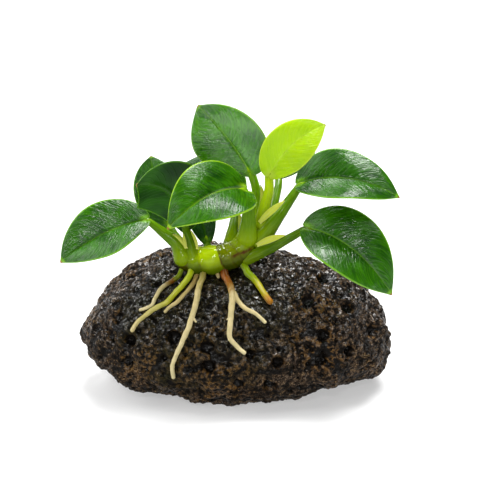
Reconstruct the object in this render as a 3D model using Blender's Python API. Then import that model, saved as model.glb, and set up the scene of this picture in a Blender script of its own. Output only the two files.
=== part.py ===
"""A small broad-leaved water plant whose creeping stem clings to a porous lava stone.

Sizes and places are written in millimetres and become metres in the meshes. +Z is up,
+X runs along the stone's length, and the plant's front faces -Y. The origin is the
middle of the flat underside on which the stone rests.
"""

import math
import random
from dataclasses import dataclass

import bmesh
import bpy
from mathutils import Vector, noise
from mathutils.bvhtree import BVHTree
from mathutils.geometry import interpolate_bezier

MM = 0.001

# Every piece keeps this distance from the ones that it grows from or lies on.
GAP = 0.35

# The stone is a squarish ellipsoid about its heart, swollen here and sunk there.
STONE_HALF_LENGTH = 53.3
STONE_HALF_DEPTH = 36.0
STONE_HEART = Vector((0.0, 0.0, 20.0))
STONE_RISE = 28.5
STONE_DROP = 23.5
STONE_SQUARENESS = 2.3
STONE_CUTS = 5

# The stone's lumps: their height and how far apart they are.
STONE_LUMPS = ((1.5, 11.0), (0.9, 5.0))
LUMPS_PLACE = Vector((4.0, 11.0, 2.0))

# The rounded knobs that cover the stone: how far apart they are and how high they stand.
KNOB_SPACING = 9.9
KNOB_RISE = 1.3
KNOB_SHARPNESS = 2.6

# Each swelling: bearing from +X towards +Y, height angle, rise in mm, spread in degrees.
STONE_SWELLS = (
    (180.0, 22.0, -3.0, 9.0),
    (156.0, 36.0, 0.8, 10.0),
    (100.0, 60.0, -1.0, 20.0),
    (25.0, 36.0, -2.2, 18.0),
    (-2.0, 18.0, -1.5, 12.0),
    (-5.0, -15.0, 5.5, 9.0),
    (-28.0, -32.0, -2.5, 14.0),
    (-164.0, -20.0, -2.0, 8.0),
    (-153.0, -18.0, 2.2, 8.0),
    (-137.0, -31.0, -2.5, 8.0),
    (-178.0, -4.0, 1.0, 9.0),
)

# The large holes of the front: x, height as seen from before the stone, and radius.
FRONT_PITS = (
    (-42.0, 30.5, 1.6),
    (-41.0, 25.5, 1.8),
    (-43.5, 19.5, 1.8),
    (-36.5, 19.5, 2.0),
    (-21.0, 19.0, 2.3),
    (-37.0, 10.0, 1.9),
    (-10.0, 16.0, 2.3),
    (-9.5, 9.0, 2.2),
    (5.0, 13.5, 1.6),
    (14.0, 10.5, 2.1),
    (0.5, 2.0, 1.9),
    (11.5, 2.0, 2.1),
    (24.5, 32.0, 2.4),
    (39.0, 36.0, 2.0),
    (38.0, 29.0, 2.1),
    (29.5, 20.0, 2.3),
    (28.5, 11.0, 2.2),
    (38.5, 13.5, 1.9),
    (46.0, 8.0, 1.8),
    (47.5, 20.5, 1.8),
)
SCATTERED_PITS = 20
PIT_SEED = 5
PIT_SPACING = 7.0
PIT_RADII = (1.7, 2.5)
PIT_SINK = 0.35

# A height above the whole stone, from which its top is found.
ABOVE = 100.0

# Roots and front holes are placed on the stone along a line of sight that falls this much.
SIGHT = Vector((0.0, math.cos(math.radians(15.0)), -math.sin(math.radians(15.0))))

# The rhizome's centre line with its radius, from the old left end to the growing tip.
RHIZOME = (
    (-19.9, -17.0, 49.6, 2.6),
    (-18.6, -17.2, 49.8, 4.3),
    (-15.5, -17.5, 50.2, 4.9),
    (-13.4, -17.8, 50.4, 4.6),
    (-10.0, -18.0, 50.7, 5.3),
    (-6.5, -18.0, 51.2, 5.0),
    (-4.4, -18.0, 51.6, 4.5),
    (-1.5, -17.8, 52.6, 4.8),
    (1.2, -17.2, 54.1, 4.6),
    (3.2, -16.6, 56.6, 4.5),
    (4.9, -15.8, 59.4, 4.3),
    (6.0, -15.2, 61.8, 3.4),
)
RHIZOME_SIDES = 10

LEAF_THICKNESS = 0.85
LEAF_ROWS = (0.0, 0.04, 0.14, 0.29, 0.47, 0.66, 0.84, 1.0)
LEAF_COLUMNS = 6
LEAF_ROUNDING = 1.5
SHEATH_THICKNESS = 0.6
SHEATH_ROWS = (0.0, 0.15, 0.5, 0.8, 1.0)
SHEATH_COLUMNS = 2
STALK_SIDES = 7
STALK_STEPS = 2
STALK_TAPER = 0.7
ROOT_SIDES = 6
ROOT_STEPS = 2
ROOT_CLEARANCE = 0.25

# Each finish is a colour with its roughness.
WET_LAVA = ((0.03, 0.022, 0.015), 0.35)
OLD_LEAF = ((0.02, 0.12, 0.01), 0.22)
FRESH_LEAF = ((0.05, 0.19, 0.01), 0.2)
YOUNG_LEAF = ((0.42, 0.65, 0.01), 0.25)
STALK_GREEN = ((0.06, 0.17, 0.01), 0.3)
STEM_GREEN = ((0.26, 0.36, 0.01), 0.28)
ROOT_CREAM = ((0.77, 0.66, 0.4), 0.4)
SHEATH_YELLOW = ((0.66, 0.68, 0.13), 0.45)


@dataclass(frozen=True)
class Blade:
    """A leaf blade or a sheath: points are in mm, angles in degrees.

    The pairs are for the left and right halves, seen on the upper face with the tip ahead.
    """

    base: tuple
    belly: tuple
    tip: tuple
    facing: tuple
    half_width: float
    folds: tuple = (14.0, 14.0)
    fullest: tuple = (0.45, 0.45)
    curl: float = 10.0
    lobe: float = 0.02
    finish: tuple = OLD_LEAF


@dataclass(frozen=True)
class Stalk:
    """A stalk from inside the rhizome, with its radii and the pieces that it wraps."""

    points: tuple
    radii: tuple
    wraps: tuple = ("rhizome",)
    finish: tuple = STALK_GREEN


@dataclass(frozen=True)
class Root:
    """A root from inside what it grows from, then over the stone.

    Its points on the stone are x and y where it runs over the top, and x and height
    where it runs down the front.
    """

    radii: tuple
    start: tuple = ()
    top: tuple = ()
    front: tuple = ()
    wraps: tuple = ("rhizome",)


LEAVES = {
    "left": Blade(
        base=(-30.1, -17.0, 64.6),
        belly=(-44.7, -19.5, 60.5),
        tip=(-59.4, -24.0, 51.6),
        facing=(0.0, -0.65, 0.76),
        half_width=11.2,
        folds=(26.0, 28.0),
        fullest=(0.48, 0.45),
    ),
    "back_left": Blade(
        base=(-23.1, -9.0, 60.4),
        belly=(-27.6, -6.0, 72.6),
        tip=(-29.8, -1.0, 83.5),
        facing=(-0.1, -0.9, 0.3),
        half_width=8.3,
        folds=(28.0, 15.0),
        fullest=(0.45, 0.5),
    ),
    "mid_left": Blade(
        base=(-17.7, -17.0, 62.6),
        belly=(-22.6, -25.0, 76.3),
        tip=(-32.7, -31.0, 80.0),
        facing=(-0.48, 0.85, 0.2),
        half_width=12.5,
        folds=(8.0, 40.0),
        fullest=(0.38, 0.42),
        lobe=0.1,
    ),
    "front": Blade(
        base=(3.2, -22.0, 76.2),
        belly=(-9.2, -33.0, 76.7),
        tip=(-22.2, -40.0, 67.4),
        facing=(0.0, -0.65, 0.76),
        half_width=12.0,
        folds=(14.0, 27.0),
        fullest=(0.38, 0.38),
        lobe=0.04,
        finish=FRESH_LEAF,
    ),
    "top": Blade(
        base=(5.0, -7.0, 78.4),
        belly=(-2.8, -8.0, 91.0),
        tip=(-13.2, -4.0, 101.8),
        facing=(-0.35, -0.9, 0.3),
        half_width=12.2,
        folds=(12.0, 24.0),
        fullest=(0.55, 0.39),
    ),
    "young": Blade(
        base=(11.0, -15.0, 79.1),
        belly=(19.0, -17.0, 90.9),
        tip=(29.9, -14.0, 96.8),
        facing=(0.1, -0.95, 0.3),
        half_width=8.0,
        folds=(15.0, 28.0),
        fullest=(0.40, 0.46),
        lobe=0.0,
        finish=YOUNG_LEAF,
    ),
    "upper_right": Blade(
        base=(20.9, -14.0, 76.1),
        belly=(36.8, -19.0, 79.4),
        tip=(54.6, -22.0, 73.6),
        facing=(0.05, -0.55, 0.83),
        half_width=11.5,
        folds=(26.0, 20.0),
        fullest=(0.40, 0.46),
    ),
    "lower_right": Blade(
        base=(22.9, -20.0, 62.6),
        belly=(38.0, -28.0, 57.8),
        tip=(51.8, -32.0, 42.6),
        facing=(0.2, -0.75, 0.63),
        half_width=12.3,
        folds=(27.0, 22.0),
        fullest=(0.42, 0.46),
    ),
    "small_inner": Blade(
        base=(-10.1, -13.5, 55.6),
        belly=(-12.4, -10.5, 65.6),
        tip=(-14.8, -5.5, 74.2),
        facing=(0.1, -0.97, 0.2),
        half_width=4.8,
        lobe=0.0,
    ),
    "back_middle": Blade(
        base=(0.5, -4.0, 67.5),
        belly=(-7.6, 0.0, 75.5),
        tip=(-18.6, 7.0, 79.2),
        facing=(-0.3, -0.5, 0.8),
        half_width=9.0,
        folds=(20.0, 24.0),
    ),
    "back_right": Blade(
        base=(14.9, 2.0, 75.4),
        belly=(21.2, 6.5, 82.0),
        tip=(27.3, 13.0, 86.2),
        facing=(0.3, -0.6, 0.75),
        half_width=5.8,
        folds=(14.0, 30.0),
        fullest=(0.48, 0.48),
        lobe=0.0,
    ),
}

# Each stalk has its blade's name; the later ones wrap round the earlier ones.
STALKS = {
    "young": Stalk(
        ((8.0, -15.5, 60.0), (9.5, -15.5, 68.0), (11.0, -15.0, 74.0)),
        (2.5, 1.4),
        finish=YOUNG_LEAF,
    ),
    "left": Stalk(((-17.7, -18.2, 50.0), (-20.2, -17.3, 56.2), (-24.4, -16.6, 59.6)), (2.6, 1.0)),
    "back_left": Stalk(
        ((-16.5, -14.5, 51.5), (-19.0, -12.0, 55.0), (-21.5, -10.0, 57.8)), (1.7, 1.2)
    ),
    "mid_left": Stalk(((-14.2, -18.7, 51.6), (-15.6, -18.6, 56.4), (-16.9, -18.1, 60.5)), (2.2, 1.0)),
    "small_inner": Stalk(((-9.8, -15.5, 50.5), (-9.9, -14.2, 53.0)), (1.8, 1.1)),
    "back_middle": Stalk(((-2.6, -16.0, 54.0), (-1.5, -13.6, 59.0), (-0.4, -9.5, 64.0)), (2.1, 1.4)),
    "top": Stalk(
        ((5.5, -12.5, 61.0), (6.8, -9.5, 67.0), (6.8, -8.0, 73.0)),
        (1.9, 1.4),
        wraps=("rhizome", "stalk_young"),
    ),
    "front": Stalk(
        ((3.4, -17.6, 56.0), (3.9, -20.4, 63.0), (4.0, -21.7, 69.5)),
        (3.4, 1.4),
        wraps=("rhizome", "stalk_young"),
    ),
    "upper_right": Stalk(
        ((6.0, -16.5, 55.0), (9.6, -17.3, 59.5), (14.8, -17.0, 66.7)),
        (3.2, 1.3),
        wraps=("rhizome", "stalk_young", "stalk_front"),
    ),
    "lower_right": Stalk(
        ((3.6, -17.6, 51.8), (8.0, -20.2, 53.9), (12.9, -20.7, 56.4), (18.1, -20.6, 59.3)),
        (2.1, 1.2),
        wraps=("rhizome", "stalk_upper_right"),
    ),
    "back_right": Stalk(
        ((9.0, -12.5, 60.0), (12.5, -7.0, 66.0), (14.5, -1.0, 72.0)),
        (1.7, 1.3),
        wraps=("rhizome", "stalk_young", "stalk_top"),
    ),
}

SHEATH_FACING = (-0.3, -0.9, 0.3)

# Each sheath's base, belly, tip, upper face and half width.
SHEATHS = {
    "upper_right": ((7.8, -18.6, 64.2), (11.6, -19.3, 68.2), (16.3, -18.5, 71.7), SHEATH_FACING, 1.1),
    "lower_right": ((7.0, -21.5, 57.0), (11.4, -21.8, 59.1), (16.3, -21.6, 60.4), SHEATH_FACING, 1.1),
    "top": ((7.9, -12.2, 66.5), (8.9, -11.2, 71.0), (8.2, -10.6, 75.3), SHEATH_FACING, 0.8),
    "left": ((-17.3, -19.8, 55.4), (-18.9, -19.5, 58.4), (-21.6, -18.8, 60.0), SHEATH_FACING, 0.7),
    "mid_left": ((-17.1, -20.6, 55.6), (-17.6, -20.8, 58.3), (-18.0, -20.4, 60.6), SHEATH_FACING, 0.5),
    "mid_inner": ((-13.3, -20.8, 55.4), (-14.0, -20.9, 58.8), (-15.6, -20.4, 61.9), SHEATH_FACING, 0.5),
    "back_middle": ((1.0, -15.5, 58.0), (1.3, -14.8, 62.5), (0.9, -14.0, 66.2), SHEATH_FACING, 0.8),
}

ROOTS = {
    "far_left": Root(
        start=((-18.0, -17.5, 49.5), (-19.5, -19.5, 46.0)),
        front=((-21.6, 37.2), (-24.9, 35.4), (-27.0, 32.6), (-28.8, 29.6), (-32.6, 28.0)),
        radii=(0.95, 0.55),
    ),
    "left": Root(
        start=((-14.8, -19.5, 50.0), (-16.3, -22.7, 46.0)),
        front=(
            (-19.8, 34.3),
            (-23.4, 31.0),
            (-27.0, 29.0),
            (-30.2, 26.6),
            (-33.4, 23.4),
            (-35.6, 19.4),
        ),
        radii=(1.1, 0.7),
    ),
    "mid_left": Root(
        start=((-12.8, -17.5, 48.5), (-13.9, -21.3, 45.4)),
        front=((-15.4, 35.8), (-19.2, 31.2), (-22.0, 28.5), (-24.4, 26.4)),
        radii=(0.9, 0.6),
    ),
    "long": Root(
        start=((-11.1, -19.0, 48.5), (-11.6, -22.6, 45.5)),
        front=(
            (-12.4, 36.0),
            (-13.9, 31.2),
            (-14.3, 26.2),
            (-15.9, 22.2),
            (-17.9, 17.6),
            (-20.3, 13.1),
            (-21.3, 9.0),
            (-20.8, 3.8),
        ),
        radii=(1.15, 0.7),
    ),
    "middle": Root(
        start=((-4.6, -19.5, 48.5), (-3.9, -22.3, 46.0)),
        front=(
            (-2.6, 37.6),
            (-1.4, 33.6),
            (-2.0, 28.4),
            (-2.2, 23.6),
            (-2.4, 19.3),
            (-0.5, 16.2),
            (2.8, 13.2),
        ),
        radii=(1.35, 0.7),
    ),
    "middle_branch": Root(
        front=((-0.4, 34.6), (1.0, 31.4), (3.4, 28.8), (6.6, 27.1), (9.8, 23.2)),
        radii=(0.9, 0.55),
        wraps=("root_middle",),
    ),
    "right": Root(
        start=((2.0, -18.5, 50.4), (3.8, -21.9, 47.4)),
        front=((6.0, 37.4), (8.8, 33.4), (11.8, 29.8)),
        radii=(1.1, 0.85),
    ),
    "stub": Root(
        start=((-7.0, -19.0, 48.0),),
        front=((-6.3, 38.4),),
        radii=(0.8, 0.55),
    ),
    "back_left": Root(
        start=((-9.5, -16.0, 50.3),),
        top=((-11.0, -10.8), (-14.5, -5.0), (-15.5, 2.0), (-19.0, 9.0), (-20.0, 17.0)),
        radii=(1.05, 0.6),
    ),
    "back_right": Root(
        start=((-3.5, -15.5, 52.0),),
        top=((-2.6, -10.6), (1.5, -5.5), (6.0, -2.0), (8.5, 5.0), (12.0, 12.0)),
        radii=(1.0, 0.6),
    ),
}


def mm(point):
    """Give a point of millimetres as a vector of metres."""
    return Vector(point) * MM


def clear_scene():
    """Remove every object, so that the model is built in an empty scene."""
    for old in list(bpy.data.objects):
        bpy.data.objects.remove(old, do_unlink=True)


def make_material(name, colour, roughness):
    """Make the plain material of one piece."""
    coat = bpy.data.materials.new(name)
    coat.use_nodes = True
    shader = coat.node_tree.nodes["Principled BSDF"]
    shader.inputs["Base Color"].default_value = (*colour, 1.0)
    shader.inputs["Roughness"].default_value = roughness
    shader.inputs["Metallic"].default_value = 0.0
    return coat


def add_object(name, mesh, finish=None):
    """Turn a bmesh into a smooth-shaded object, with its own material if it has a finish."""
    data = bpy.data.meshes.new(name)
    mesh.to_mesh(data)
    mesh.free()
    data.shade_smooth()
    if finish:
        data.materials.append(make_material(name, *finish))
    piece = bpy.data.objects.new(name, data)
    bpy.context.scene.collection.objects.link(piece)
    return piece


def make_guide(piece):
    """Mark an object as a cutter, which is no piece of the plant."""
    piece.hide_render = True
    piece.display_type = "WIRE"
    return piece


def cut_with(piece, cutter):
    """Take a cutter's shape out of a piece."""
    cut = piece.modifiers.new("cut by " + cutter.name, "BOOLEAN")
    cut.operation = "DIFFERENCE"
    cut.object = cutter


def sphere_direction(bearing, height):
    """Give the unit vector with this bearing from +X and this height angle, in degrees."""
    turn = math.radians(bearing)
    rise = math.radians(height)
    return Vector(
        (math.cos(rise) * math.cos(turn), math.cos(rise) * math.sin(turn), math.sin(rise))
    )


def stone_point(direction):
    """Give the stone's surface, in mm, in a unit direction from its heart."""
    upright = STONE_RISE if direction.z > 0.0 else STONE_DROP
    power = STONE_SQUARENESS
    reach = (
        (abs(direction.x) / STONE_HALF_LENGTH) ** power
        + (abs(direction.y) / STONE_HALF_DEPTH) ** power
        + (abs(direction.z) / upright) ** power
    ) ** (-1.0 / power)
    for bearing, height, rise, spread in STONE_SWELLS:
        angle = math.degrees(direction.angle(sphere_direction(bearing, height)))
        reach += rise * math.exp(-0.5 * (angle / spread) ** 2)
    point = STONE_HEART + direction * reach
    lumps = [height * noise.noise(point / size + LUMPS_PLACE) for height, size in STONE_LUMPS]
    from_knob = noise.voronoi(point / KNOB_SPACING)[0][0]
    knob = KNOB_RISE * (1.0 - KNOB_SHARPNESS * from_knob**2)
    return point + direction * (sum(lumps) + knob)


def stone_body():
    """Shape the stone from a ball and cut it flat underneath."""
    mesh = bmesh.new()
    bmesh.ops.create_icosphere(mesh, subdivisions=2, radius=1.0)
    bmesh.ops.subdivide_edges(mesh, edges=mesh.edges, cuts=STONE_CUTS, use_grid_fill=True)
    for corner in mesh.verts:
        corner.co = stone_point(corner.co.normalized()) * MM
    everything = mesh.verts[:] + mesh.edges[:] + mesh.faces[:]
    bmesh.ops.bisect_plane(
        mesh, geom=everything, dist=1e-6, plane_co=(0, 0, 0), plane_no=(0, 0, 1), clear_inner=True
    )
    rim = [edge for edge in mesh.edges if edge.is_boundary]
    bmesh.ops.contextual_create(mesh, geom=rim)
    bmesh.ops.recalc_face_normals(mesh, faces=mesh.faces)
    return mesh


def on_front(skin, x, height, lift):
    """Drop a front-view point onto the stone and lift it off the surface, in mm."""
    place, normal, _, _ = skin.ray_cast(mm((x, 0.0, height)) - SIGHT, SIGHT)
    return place / MM + normal * lift


def on_top(skin, x, y, lift):
    """Drop a plan-view point onto the stone and lift it off the surface, in mm."""
    place, normal, _, _ = skin.ray_cast(mm((x, y, ABOVE)), Vector((0.0, 0.0, -1.0)))
    return place / MM + normal * lift


def pit_places(skin):
    """List the centres and radii of the stone's large holes, in mm."""
    pits = []
    for x, height, radius in FRONT_PITS:
        pits.append((on_front(skin, x, height, -PIT_SINK * radius), radius))
    rng = random.Random(PIT_SEED)
    while len(pits) < len(FRONT_PITS) + SCATTERED_PITS:
        direction = sphere_direction(rng.uniform(-10.0, 190.0), rng.uniform(-25.0, 70.0))
        radius = rng.uniform(*PIT_RADII)
        centre = stone_point(direction) - direction * PIT_SINK * radius
        if all((centre - other).length > PIT_SPACING for other, _ in pits):
            pits.append((centre, radius))
    return pits


def build_stone(rhizome_room):
    """Make the stone with its holes and the rhizome's bed, and give its unholed skin."""
    mesh = stone_body()
    skin = BVHTree.FromBMesh(mesh)
    stone = add_object("stone", mesh, WET_LAVA)
    balls = bmesh.new()
    for centre, radius in pit_places(skin):
        ball = bmesh.ops.create_icosphere(balls, subdivisions=1, radius=radius * MM)
        bmesh.ops.translate(balls, verts=ball["verts"], vec=centre * MM)
    cut_with(stone, make_guide(add_object("stone_holes", balls)))
    cut_with(stone, rhizome_room)
    return skin


def smooth_path(points, steps):
    """Thread a smooth curve through points, with this many steps from each to the next."""
    ends = [points[0]] + list(points) + [points[-1]]
    path = []
    for before, start, stop, after in zip(ends, ends[1:], ends[2:], ends[3:]):
        first = start + (stop - before) / 6.0
        last = stop - (after - start) / 6.0
        path += interpolate_bezier(start, first, last, stop, steps + 1)[:-1]
    return path + [points[-1]]


def tube(path, radii, sides):
    """Sweep a ring along a path in mm, changing its radius, and close both ends."""
    mesh = bmesh.new()
    ring = bmesh.ops.create_circle(mesh, cap_ends=True, radius=1.0, segments=sides)["verts"]
    circle = [corner.co.copy() for corner in ring]
    side = (path[1] - path[0]).orthogonal().normalized()
    edges = list(mesh.edges)
    for place, (centre, radius) in enumerate(zip(path, radii)):
        ahead = path[min(place + 1, len(path) - 1)] - path[max(place - 1, 0)]
        ahead.normalize()
        side = (side - ahead * side.dot(ahead)).normalized()
        other = ahead.cross(side)
        if place:
            grown = bmesh.ops.extrude_edge_only(mesh, edges=edges)["geom"]
            edges = [item for item in grown if isinstance(item, bmesh.types.BMEdge)]
            edges = [edge for edge in edges if edge.is_boundary]
            ring = [item for item in grown if isinstance(item, bmesh.types.BMVert)]
        for corner, flat in zip(ring, circle):
            corner.co = (centre + (side * flat.x + other * flat.y) * radius) * MM
    bmesh.ops.contextual_create(mesh, geom=edges)
    bmesh.ops.recalc_face_normals(mesh, faces=mesh.faces)
    return mesh


def add_room(name, path, radii, sides):
    """Make the cutter that keeps a gap round a tube and past its ends."""
    first = path[0] + (path[0] - path[1]).normalized() * GAP
    last = path[-1] + (path[-1] - path[-2]).normalized() * GAP
    room = tube([first, *path[1:-1], last], [radius + GAP for radius in radii], sides)
    return make_guide(add_object("room_" + name, room))


def taper(start, stop, count, bend=1.0):
    """Give a run of radii from one to another."""
    return [start + (stop - start) * (step / (count - 1)) ** bend for step in range(count)]


def build_rhizome():
    """Make the creeping stem and its room."""
    path = [Vector(entry[:3]) for entry in RHIZOME]
    radii = [entry[3] for entry in RHIZOME]
    add_object("rhizome", tube(path, radii, RHIZOME_SIDES), STEM_GREEN)
    return add_room("rhizome", path, radii, RHIZOME_SIDES)


def blade_course(blade, along):
    """Give a point of a blade's midrib and the direction of the midrib there."""
    base, belly, tip = Vector(blade.base), Vector(blade.belly), Vector(blade.tip)
    pull = belly * 2.0 - (base + tip) / 2.0
    first = base.lerp(pull, along)
    last = pull.lerp(tip, along)
    return first.lerp(last, along), (last - first).normalized()


def blade_point(blade, along, across):
    """Give a blade's point: along runs 0 to 1 to the tip, across -1 to 1 over the blade."""
    centre, ahead = blade_course(blade, along)
    side = ahead.cross(Vector(blade.facing)).normalized()
    face = side.cross(ahead)
    right = across > 0
    fullest = blade.fullest[right]
    foot = LEAF_ROUNDING * fullest
    point = LEAF_ROUNDING - foot
    profile = (along / fullest) ** foot * ((1 - along) / (1 - fullest)) ** point
    reach = blade.half_width * profile * abs(across)
    slope = math.radians(blade.folds[right] - blade.curl * abs(across))
    length = (Vector(blade.tip) - Vector(blade.base)).length
    back = blade.lobe * length * across**2 * (1 - along) ** 4
    sideways = math.copysign(reach * math.cos(slope), across)
    return centre + side * sideways + face * reach * math.sin(slope) - ahead * back


def build_blade(name, blade, rows, columns, thickness):
    """Make a leaf's blade, or a sheath, as a curved plate."""
    mesh = bmesh.new()
    last = len(rows) - 1
    bmesh.ops.create_grid(mesh, x_segments=columns, y_segments=last, size=1.0)
    for corner in mesh.verts:
        along = rows[round((corner.co.y + 1.0) / 2.0 * last)]
        corner.co = blade_point(blade, along, corner.co.x) * MM
    bmesh.ops.remove_doubles(mesh, verts=mesh.verts, dist=1e-5)
    piece = add_object(name, mesh, blade.finish)
    plate = piece.modifiers.new("thickness", "SOLIDIFY")
    plate.thickness = thickness * MM
    plate.offset = 0.0
    return piece


def build_stalks(rooms):
    """Make the stalks, each ending just short of its blade."""
    for name, stalk in STALKS.items():
        points = [Vector(point) for point in stalk.points]
        base = Vector(LEAVES[name].base)
        arrival = (base - points[-1]).normalized()
        points.append(base - arrival * (LEAF_THICKNESS / 2.0 + GAP))
        path = smooth_path(points, STALK_STEPS)
        radii = taper(*stalk.radii, len(path), STALK_TAPER)
        piece = add_object("stalk_" + name, tube(path, radii, STALK_SIDES), stalk.finish)
        for wrapped in stalk.wraps:
            cut_with(piece, rooms[wrapped])
        rooms["stalk_" + name] = add_room("stalk_" + name, path, radii, STALK_SIDES)


def build_leaves(rooms):
    """Make the leaf blades, each notched at its base for its stalk."""
    for name, blade in LEAVES.items():
        piece = build_blade("leaf_" + name, blade, LEAF_ROWS, LEAF_COLUMNS, LEAF_THICKNESS)
        cut_with(piece, rooms["stalk_" + name])


def build_sheaths(rooms):
    """Make the thin pale sheaths at the feet of the stalks."""
    for name, sheath in SHEATHS.items():
        blade = Blade(*sheath, finish=SHEATH_YELLOW)
        piece = build_blade(
            "sheath_" + name, blade, SHEATH_ROWS, SHEATH_COLUMNS, SHEATH_THICKNESS
        )
        cut_with(piece, rooms["rhizome"])


def build_roots(skin, rooms):
    """Make the roots, which leave the rhizome and lie on the stone."""
    for name, root in ROOTS.items():
        lift = root.radii[0] + GAP + ROOT_CLEARANCE
        points = [Vector(point) for point in root.start]
        points += [on_top(skin, x, y, lift) for x, y in root.top]
        points += [on_front(skin, x, height, lift) for x, height in root.front]
        path = smooth_path(points, ROOT_STEPS)
        radii = taper(*root.radii, len(path))
        piece = add_object("root_" + name, tube(path, radii, ROOT_SIDES), ROOT_CREAM)
        for wrapped in root.wraps:
            cut_with(piece, rooms[wrapped])
        rooms["root_" + name] = add_room("root_" + name, path, radii, ROOT_SIDES)


def build_plant():
    """Build every piece."""
    clear_scene()
    rooms = {"rhizome": build_rhizome()}
    skin = build_stone(rooms["rhizome"])
    build_stalks(rooms)
    build_leaves(rooms)
    build_sheaths(rooms)
    build_roots(skin, rooms)


build_plant()
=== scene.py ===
"""Dress a small broad-leaved water plant that grows on a porous lava stone.

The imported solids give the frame. Each visible piece is modelled here with bmesh
operators and stands for the solid of the same form. Tables and shape formulas are in
millimetres; meshes are in metres.
"""

import logging
import math
import random
from collections.abc import Callable, Iterable, Sequence
from dataclasses import dataclass, field, replace
from enum import Enum

import bmesh
import bpy
from bmesh.types import BMEdge, BMesh, BMVert
from bpy.types import Material, NodeSocket, Object
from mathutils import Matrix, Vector, noise
from mathutils.bvhtree import BVHTree
from mathutils.geometry import interpolate_bezier, intersect_point_line
from mathutils.kdtree import KDTree


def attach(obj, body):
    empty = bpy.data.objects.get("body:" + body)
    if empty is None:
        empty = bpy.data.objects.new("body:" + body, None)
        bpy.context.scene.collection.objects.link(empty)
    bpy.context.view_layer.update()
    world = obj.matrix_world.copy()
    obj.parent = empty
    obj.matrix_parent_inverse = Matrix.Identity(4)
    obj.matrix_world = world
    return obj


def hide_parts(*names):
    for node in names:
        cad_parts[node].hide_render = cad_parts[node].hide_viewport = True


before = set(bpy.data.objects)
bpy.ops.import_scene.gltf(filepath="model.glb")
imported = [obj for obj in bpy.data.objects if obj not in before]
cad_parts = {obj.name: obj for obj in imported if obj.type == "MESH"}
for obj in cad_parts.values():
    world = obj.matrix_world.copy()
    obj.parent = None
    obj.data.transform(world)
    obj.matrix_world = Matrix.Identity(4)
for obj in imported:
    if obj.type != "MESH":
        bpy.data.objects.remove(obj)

Colour = tuple[float, float, float]
Point = tuple[float, float, float]
Socket = NodeSocket | float | Colour

MM = 0.001
WORLD_UP = Vector((0.0, 0.0, 1.0))
NOISE_SEED = 11
VIEW_ANGLE = math.radians(15.0)
LOG = logging.getLogger("plant")


class Slot(Enum):
    """The record's material slots."""

    STONE = "stone"
    RHIZOME = "rhizome"
    STALK = "stalk"
    YOUNG_STALK = "young_stalk"
    LEAF = "leaf"
    YOUNG_LEAF = "young_leaf"
    SHEATH = "sheath"
    ROOT = "root"


class Layer(Enum):
    """The vector layers that carry a piece's own coordinates to its materials."""

    PLACE = "place"
    GRAIN = "grain"


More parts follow.
